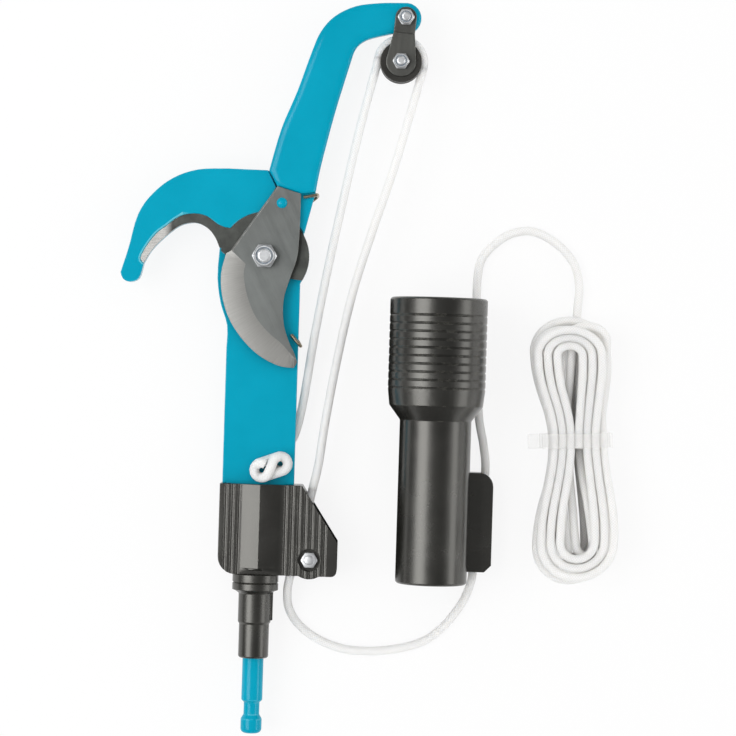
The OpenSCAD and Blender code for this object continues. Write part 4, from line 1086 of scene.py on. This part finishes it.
def crown_plate(bm, top, shoulder, rise, rows):
    """Cuts a plate's top off and closes it again with wide rounded shoulders. Its holes stay open."""
    cut = Vector((0.0, 0.0, top - rise))
    everything = bm.verts[:] + bm.edges[:] + bm.faces[:]
    bmesh.ops.bisect_plane(bm, geom=everything, plane_co=cut, plane_no=(0.0, 0.0, 1.0), clear_outer=True)
    outline, *holes = edge_loops([e for e in bm.edges if e.is_boundary])
    crown = bmesh.ops.contextual_create(bm, geom=outline)["faces"]
    bmesh.ops.recalc_face_normals(bm, faces=crown)
    if crown[0].normal.z < 0:
        crown[0].normal_flip()
    turns = [math.pi / 2 * row / rows for row in range(rows + 1)]
    for before, after in zip(turns, turns[1:]):
        inward = shoulder * (math.cos(before) - math.cos(after))
        upward = rise * (math.sin(after) - math.sin(before))
        bmesh.ops.inset_region(bm, faces=crown, thickness=inward, depth=upward, use_even_offset=True)
    rims = []
    for hole in holes:
        grown = bmesh.ops.extrude_edge_only(bm, edges=hole)["geom"]
        raised = [v for v in grown if isinstance(v, bmesh.types.BMVert)]
        bmesh.ops.translate(bm, verts=raised, vec=(0.0, 0.0, rise))
        rims += [e for e in grown if isinstance(e, bmesh.types.BMEdge) and e.is_boundary]
    border = crown[0].edges[:]
    bmesh.ops.delete(bm, geom=crown, context="FACES_ONLY")
    bmesh.ops.triangle_fill(bm, use_beauty=True, edges=border + rims)
    bmesh.ops.recalc_face_normals(bm, faces=bm.faces[:])


class PRUNER_OT_lever(bpy.types.Operator):
    """Gives the lever arm its wide rounded shoulders and paints it and its rivet"""

    bl_idname = "pruner.lever"
    bl_label = "Lever arm and rivet"

    def execute(self, context):
        sizes = context.scene.pruner_sizes
        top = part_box("lever_arm")[1].z
        bm = joined_copy("lever_arm")
        crown_plate(bm, top, sizes.arm_shoulder, sizes.arm_crown, rows=7)
        round_edges(bm, sharp_edges(bm), sizes.plate_round)
        dress("lever_arm", bm, "enamel")
        dress_rounded("lever_rivet", "enamel", sizes.small_round)
        return {"FINISHED"}


PIVOT_DOME = 1.5 * MM
SMALL_DOME = 1.0 * MM
SOFT_EDGE = 1.6
CRISP_EDGE = 0.6


class PRUNER_OT_fasteners(bpy.types.Operator):
    """Finishes the bolts, nuts, screws, washer, bush and pin"""

    bl_idname = "pruner.fasteners"
    bl_label = "Fasteners"

    def execute(self, context):
        sizes = context.scene.pruner_sizes
        dress_nut("pivot_nut", PIVOT_BORE, locking=True)
        dress_nut("block_nut", SMALL_BORE, locking=True)
        dress_nut("pulley_axle_nut", SMALL_BORE, locking=True)
        dress_nut("guide_roller_nut", SMALL_BORE, locking=False)
        dress_bolt("pivot_bolt", PIVOT_DOME, sizes)
        dress_bolt("block_bolt", SMALL_DOME, sizes)
        dress_bolt("pulley_axle", SMALL_DOME, sizes)
        dress_hex_screw("guide_roller_screw", shank=2.5 * MM, head=2.6 * MM)
        dress_rounded("adapter_screws", "zinc", sizes.small_round * SOFT_EDGE, 3)
        for node in ("pivot_bush", "pivot_washer", "tang_pin"):
            dress_rounded(node, "zinc", sizes.small_round * CRISP_EDGE)
        return {"FINISHED"}


WIRE_SIDES = 12
WIRE_STEP = 0.9 * MM
COIL_REACH = 8.5 * MM


class PRUNER_OT_spring(bpy.types.Operator):
    """Winds the return spring round its spool"""

    bl_idname = "pruner.spring"
    bl_label = "Return spring"

    def execute(self, context):
        sizes = context.scene.pruner_sizes
        points = smooth_path(spring_points(), WIRE_STEP)
        mesh = tube_mesh("torsion_spring_dressed", points, sizes.wire_width / 2, WIRE_SIDES)
        piece = new_piece("torsion_spring_dressed", mesh, [FINISHES["wire"]])
        reach = Vector((0.0, COIL_REACH, 0.0))
        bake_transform(piece, "head", "lever", start=PIVOT - reach, end=PIVOT + reach)
        show_for(piece, "torsion_spring")
        dress_rounded("spring_spool", "moulded", sizes.moulded_round)
        return {"FINISHED"}


class PRUNER_OT_pulley_block(bpy.types.Operator):
    """Finishes the straps and the pulley between them"""

    bl_idname = "pruner.pulley_block"
    bl_label = "Pulley block"

    def execute(self, context):
        sizes = context.scene.pruner_sizes
        for node in ("block_front_plate", "block_rear_plate"):
            dress_rounded(node, "strap", sizes.strap_round, 3)
        dress_rounded("pulley", "moulded", sizes.small_round)
        return {"FINISHED"}


class PRUNER_OT_adapter(bpy.types.Operator):
    """Finishes the moulded adapter, its roller, the stepped sleeve and the painted tang"""

    bl_idname = "pruner.adapter"
    bl_label = "Adapter, sleeve and tang"

    def execute(self, context):
        sizes = context.scene.pruner_sizes
        for node in ("adapter_front_shell", "adapter_rear_shell"):
            dress_rounded(node, "moulded", sizes.moulded_round, 3)
        dress_rounded("guide_roller", "roller", sizes.moulded_round)
        dress_rounded("key_sleeve", "moulded", sizes.moulded_round)
        dress_rounded("pole_tang", "enamel", sizes.plate_round)
        return {"FINISHED"}


class PRUNER_OT_grip(bpy.types.Operator):
    """Finishes the grooved pull grip"""

    bl_idname = "pruner.grip"
    bl_label = "Pull grip"

    def execute(self, context):
        sizes = context.scene.pruner_sizes
        dress_rounded("grip_sleeve", "moulded", sizes.moulded_round)
        return {"FINISHED"}


class PRUNER_OT_rope_runs(bpy.types.Operator):
    """Lays the rope from its knot over the pulley and through the adapter to the grip"""

    bl_idname = "pruner.rope_runs"
    bl_label = "Rope runs and knot"

    def execute(self, context):
        sizes = context.scene.pruner_sizes
        step = sizes.braid_step
        knot = rope_piece("rope_knot", smooth_path(knot_points(), step), sizes, KNOT_SWELL)
        stand_for(knot, "rope_knot")

        straight = even_path([off_wrap(UP_TURN, 1), on_wrap(UP_TURN)], step)
        rising = smooth_path(metres(UP_ROUTE) + [off_wrap(UP_TURN, 1)], step)
        up_points = even_path(np.vstack([rising, straight[1:]]), step)
        up_run = stand_for(rope_piece("rope_up_run", up_points, sizes), "rope_up_run")
        draw_in(up_run)

        turns = np.linspace(UP_TURN, DOWN_TURN, WRAP_STEPS)
        turn_points = even_path([on_wrap(turn) for turn in turns], step)
        turn = stand_for(rope_piece("rope_pulley_turn", turn_points, sizes), "rope_pulley_turn")

        slack = metres(SLACK_ROUTE)
        end = slack[0]
        straight = even_path([on_wrap(DOWN_TURN), off_wrap(DOWN_TURN, -1)], step)
        falling = smooth_path([off_wrap(DOWN_TURN, -1)] + metres(DOWN_ROUTE) + [end], step)
        down_points = even_path(np.vstack([straight[:-1], falling]), step)
        down_run = stand_for(rope_piece("rope_down_run", down_points, sizes), "rope_down_run")
        draw_in(down_run)

        slack.append((FIN_ROPE_LOW - FIN_ROPE_GAP * FIN_ROPE_LEAN.normalized()) * MM)
        slack_points = smooth_path(slack, step)
        slack_run = rope_piece("rope_slack_run", slack_points, sizes)
        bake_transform(slack_run, "head", "pull_grip", start=slack[SLACK_HELD], end=slack[-2])
        show_for(slack_run, "rope_slack_run")
        return {"FINISHED"}


class PRUNER_OT_hank(bpy.types.Operator):
    """Lays the rope on from the grip and winds the rest of it into a tied hank"""

    bl_idname = "pruner.hank"
    bl_label = "Hank and tie"

    def execute(self, context):
        sizes = context.scene.pruner_sizes
        wound = hank_points()
        lead = (wound[1] - wound[0]).normalized()
        width = ROPE_WIDTH / MM
        route = [FIN_ROPE_LOW, FIN_ROPE_LOW + FIN_ROPE_LEAN / 2, FIN_ROPE_LOW + FIN_ROPE_LEAN]
        route += [Vector(point) for point in GRIP_ROUTE]
        route += [wound[0] - 2 * width * lead]
        tail = wound[-1] + width * (wound[-1] - wound[-2]).normalized()
        points = smooth_path([p * MM for p in route + wound + [tail]], sizes.braid_step)
        tie = dress_rounded("hank_tie", "tie", TIE_ROUND, 3)
        rope = rope_piece("rope_hank", points, sizes)
        stand_for(rope, "rope_hank", "rope_grip_run")
        return {"FINISHED"}


def soft_light(name, place, target, width, height, power):
    """An area lamp that looks at the object."""
    lamp = bpy.data.lights.new(name, "AREA")
    lamp.shape = "RECTANGLE"
    lamp.size = width
    lamp.size_y = height
    lamp.energy = power
    holder = bpy.data.objects.new(name, lamp)
    holder.location = place
    holder.rotation_euler = (target - place).to_track_quat("-Z", "Y").to_euler()
    bpy.context.scene.collection.objects.link(holder)
    return holder


def seen_directly(tree):
    """1 for the rays that show the background itself, straight or in gloss and glass."""
    path = put(tree, "LightPath").outputs
    seen = maths(tree, "MAXIMUM", path["Is Camera Ray"], path["Is Glossy Ray"])
    return maths(tree, "MAXIMUM", seen, path["Is Transmission Ray"])


def plain_material(name, shade, roughness, specular):
    """An even grey material with its tree and its shader."""
    made = bpy.data.materials.new(name)
    made.use_nodes = True
    shader = made.node_tree.nodes["Principled BSDF"]
    shader.inputs["Base Color"].default_value = (shade, shade, shade, 1.0)
    shader.inputs["Roughness"].default_value = roughness
    shader.inputs["Specular IOR Level"].default_value = specular
    return made, made.node_tree, shader


WHITE = (1.0, 1.0, 1.0, 1.0)
PAPER_GLOW = 0.86
PAPER_HALF = 3.0
PAPER_AT = (0.06, 0.16)
PAPER_GAP = 0.1 * MM
CARD_OUTSIDE = 40 * MM
CARD_UNDER = 16 * MM
CEILING_FROM = 0.93
CEILING_FULL = 0.995
LEFT_LAMP_AT = Vector((-1.209, 0.0, 1.466))
LEFT_LAMP_SIZE = (1.5, 1.2)
RIGHT_LAMP_AT = Vector((1.762, 0.0, 0.712))
RIGHT_LAMP_SIZE = (1.5, 0.67)
SENSOR_WIDTH = 36.0


def make_paper():
    """White paper that keeps soft shadows."""
    made, tree, paper = plain_material("white paper", 0.93, roughness=0.9, specular=0.1)
    glow = put(tree, "Emission", {"Color": WHITE, "Strength": 1.0})
    share = maths(tree, "MULTIPLY", seen_directly(tree), PAPER_GLOW)
    both = put(tree, "MixShader", {0: share, 1: paper.outputs[0], 2: glow.outputs[0]})
    tree.links.new(both.outputs[0], tree.nodes["Material Output"].inputs["Surface"])
    return made


def stage_sheet(name, bm, material):
    """A flat piece of the stage, which is no part of the object."""
    sheet = bpy.data.objects.new(name, from_bmesh(name, bm))
    sheet.data.materials.append(material)
    bpy.context.scene.collection.objects.link(sheet)
    return sheet


def lay_paper():
    """The paper that the object lies on."""
    bm = bmesh.new()
    bmesh.ops.create_grid(bm, x_segments=1, y_segments=1, size=PAPER_HALF)
    bmesh.ops.translate(bm, verts=bm.verts[:], vec=(*PAPER_AT, CAD_LOW.z - PAPER_GAP))
    stage_sheet("paper_floor", bm, make_paper())


def lay_dark_card():
    """A black card, seen in gloss alone, that keeps the paper's white out of the grip's left side."""
    low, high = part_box("grip_sleeve")
    left = low.x - CARD_OUTSIDE
    right = low.x + CARD_UNDER
    bm = bmesh.new()
    corners = ((left, low.y), (right, low.y), (right, high.y), (left, high.y))
    bm.faces.new([bm.verts.new((x, y, CAD_LOW.z)) for x, y in corners])
    card = stage_sheet("dark_card", bm, plain_material("dark card", 0.01, roughness=1.0, specular=0.0)[0])
    card.visible_camera = False
    card.visible_diffuse = False
    card.visible_shadow = False
    card.visible_transmission = False


def make_room(stage):
    """An evenly lit white room that gloss shows darker, with a paler ceiling."""
    world = bpy.data.worlds.new("soft room")
    world.use_nodes = True
    tree = world.node_tree
    room = tree.nodes["Background"]
    upward = put(tree, "SeparateXYZ", {0: put(tree, "TexCoord").outputs["Generated"]}).outputs["Z"]
    shown = ranged(tree, upward, CEILING_FROM, CEILING_FULL, stage.room_gloss, stage.room_ceiling)
    more = maths(tree, "SUBTRACT", shown, stage.room_light)
    light = maths(tree, "ADD", maths(tree, "MULTIPLY", more, seen_directly(tree)), stage.room_light)
    feed(tree, room.inputs["Strength"], light)
    room.inputs["Color"].default_value = WHITE
    return world


def set_lamps(stage):
    """A softbox on each side, and a card in its place that gloss alone sees."""
    target = (CAD_LOW + CAD_HIGH) / 2
    left = (target + LEFT_LAMP_AT, target, *LEFT_LAMP_SIZE)
    right = (target + RIGHT_LAMP_AT, target, *RIGHT_LAMP_SIZE)
    soft_light("left softbox", *left, stage.key_power)
    soft_light("right softbox", *right, stage.side_power)
    soft_light("left card", *left, stage.key_gloss).visible_diffuse = False
    soft_light("right card", *right, stage.side_gloss).visible_diffuse = False


def make_camera(stage):
    """The camera, which looks straight down."""
    lens = bpy.data.cameras.new("camera")
    lens.sensor_width = SENSOR_WIDTH
    lens.lens = stage.camera_lens
    camera = bpy.data.objects.new("camera", lens)
    camera.location = stage.camera_place
    camera.rotation_euler = (0.0, 0.0, stage.camera_roll)
    bpy.context.scene.collection.objects.link(camera)
    return camera


class PRUNER_OT_stage(bpy.types.Operator):
    """Lays the white paper, sets the soft lights and the camera"""

    bl_idname = "pruner.stage"
    bl_label = "Stage"

    def execute(self, context):
        scene = context.scene
        stage = scene.pruner_stage
        lay_paper()
        lay_dark_card()
        scene.world = make_room(stage)
        set_lamps(stage)
        scene.camera = make_camera(stage)
        scene.view_settings.view_transform = "Standard"
        return {"FINISHED"}


BUILD_ORDER = (
    PRUNER_OT_stage,
    PRUNER_OT_rope_runs,
    PRUNER_OT_hank,
    PRUNER_OT_frame,
    PRUNER_OT_blade,
    PRUNER_OT_lever,
    PRUNER_OT_fasteners,
    PRUNER_OT_spring,
    PRUNER_OT_pulley_block,
    PRUNER_OT_adapter,
    PRUNER_OT_grip,
)


class PRUNER_PT_sidebar(bpy.types.Panel):
    """Lists the pieces of the pruner head"""

    bl_idname = "PRUNER_PT_sidebar"
    bl_label = "Pruner head"
    bl_space_type = "VIEW_3D"
    bl_region_type = "UI"
    bl_category = "Pruner"

    def draw(self, context):
        scene = context.scene
        for group in (scene.pruner_sizes, scene.pruner_colours, scene.pruner_stage):
            box = self.layout.box()
            for label in group.__annotations__:
                box.prop(group, label)
        for operator in BUILD_ORDER:
            self.layout.operator(operator.bl_idname)


GROUPS = {"pruner_sizes": PrunerSizes, "pruner_colours": PrunerColours, "pruner_stage": PrunerStage}
CLASSES = tuple(GROUPS.values()) + BUILD_ORDER + (PRUNER_PT_sidebar,)


def register():
    """Registers the classes and hangs the settings on the scene."""
    for each in CLASSES:
        bpy.utils.register_class(each)
    for label, group in GROUPS.items():
        setattr(bpy.types.Scene, label, PointerProperty(type=group))


def unregister():
    """Takes the settings and the classes away again."""
    for label in GROUPS:
        delattr(bpy.types.Scene, label)
    for each in reversed(CLASSES):
        bpy.utils.unregister_class(each)


def main():
    """Builds every piece in order."""
    register()
    scene = bpy.context.scene
    FINISHES.update(make_finishes(scene.pruner_colours, scene.pruner_sizes))
    for operator in BUILD_ORDER:
        group, name = operator.bl_idname.split(".")
        getattr(getattr(bpy.ops, group), name)()


if __name__ == "__main__":
    main()
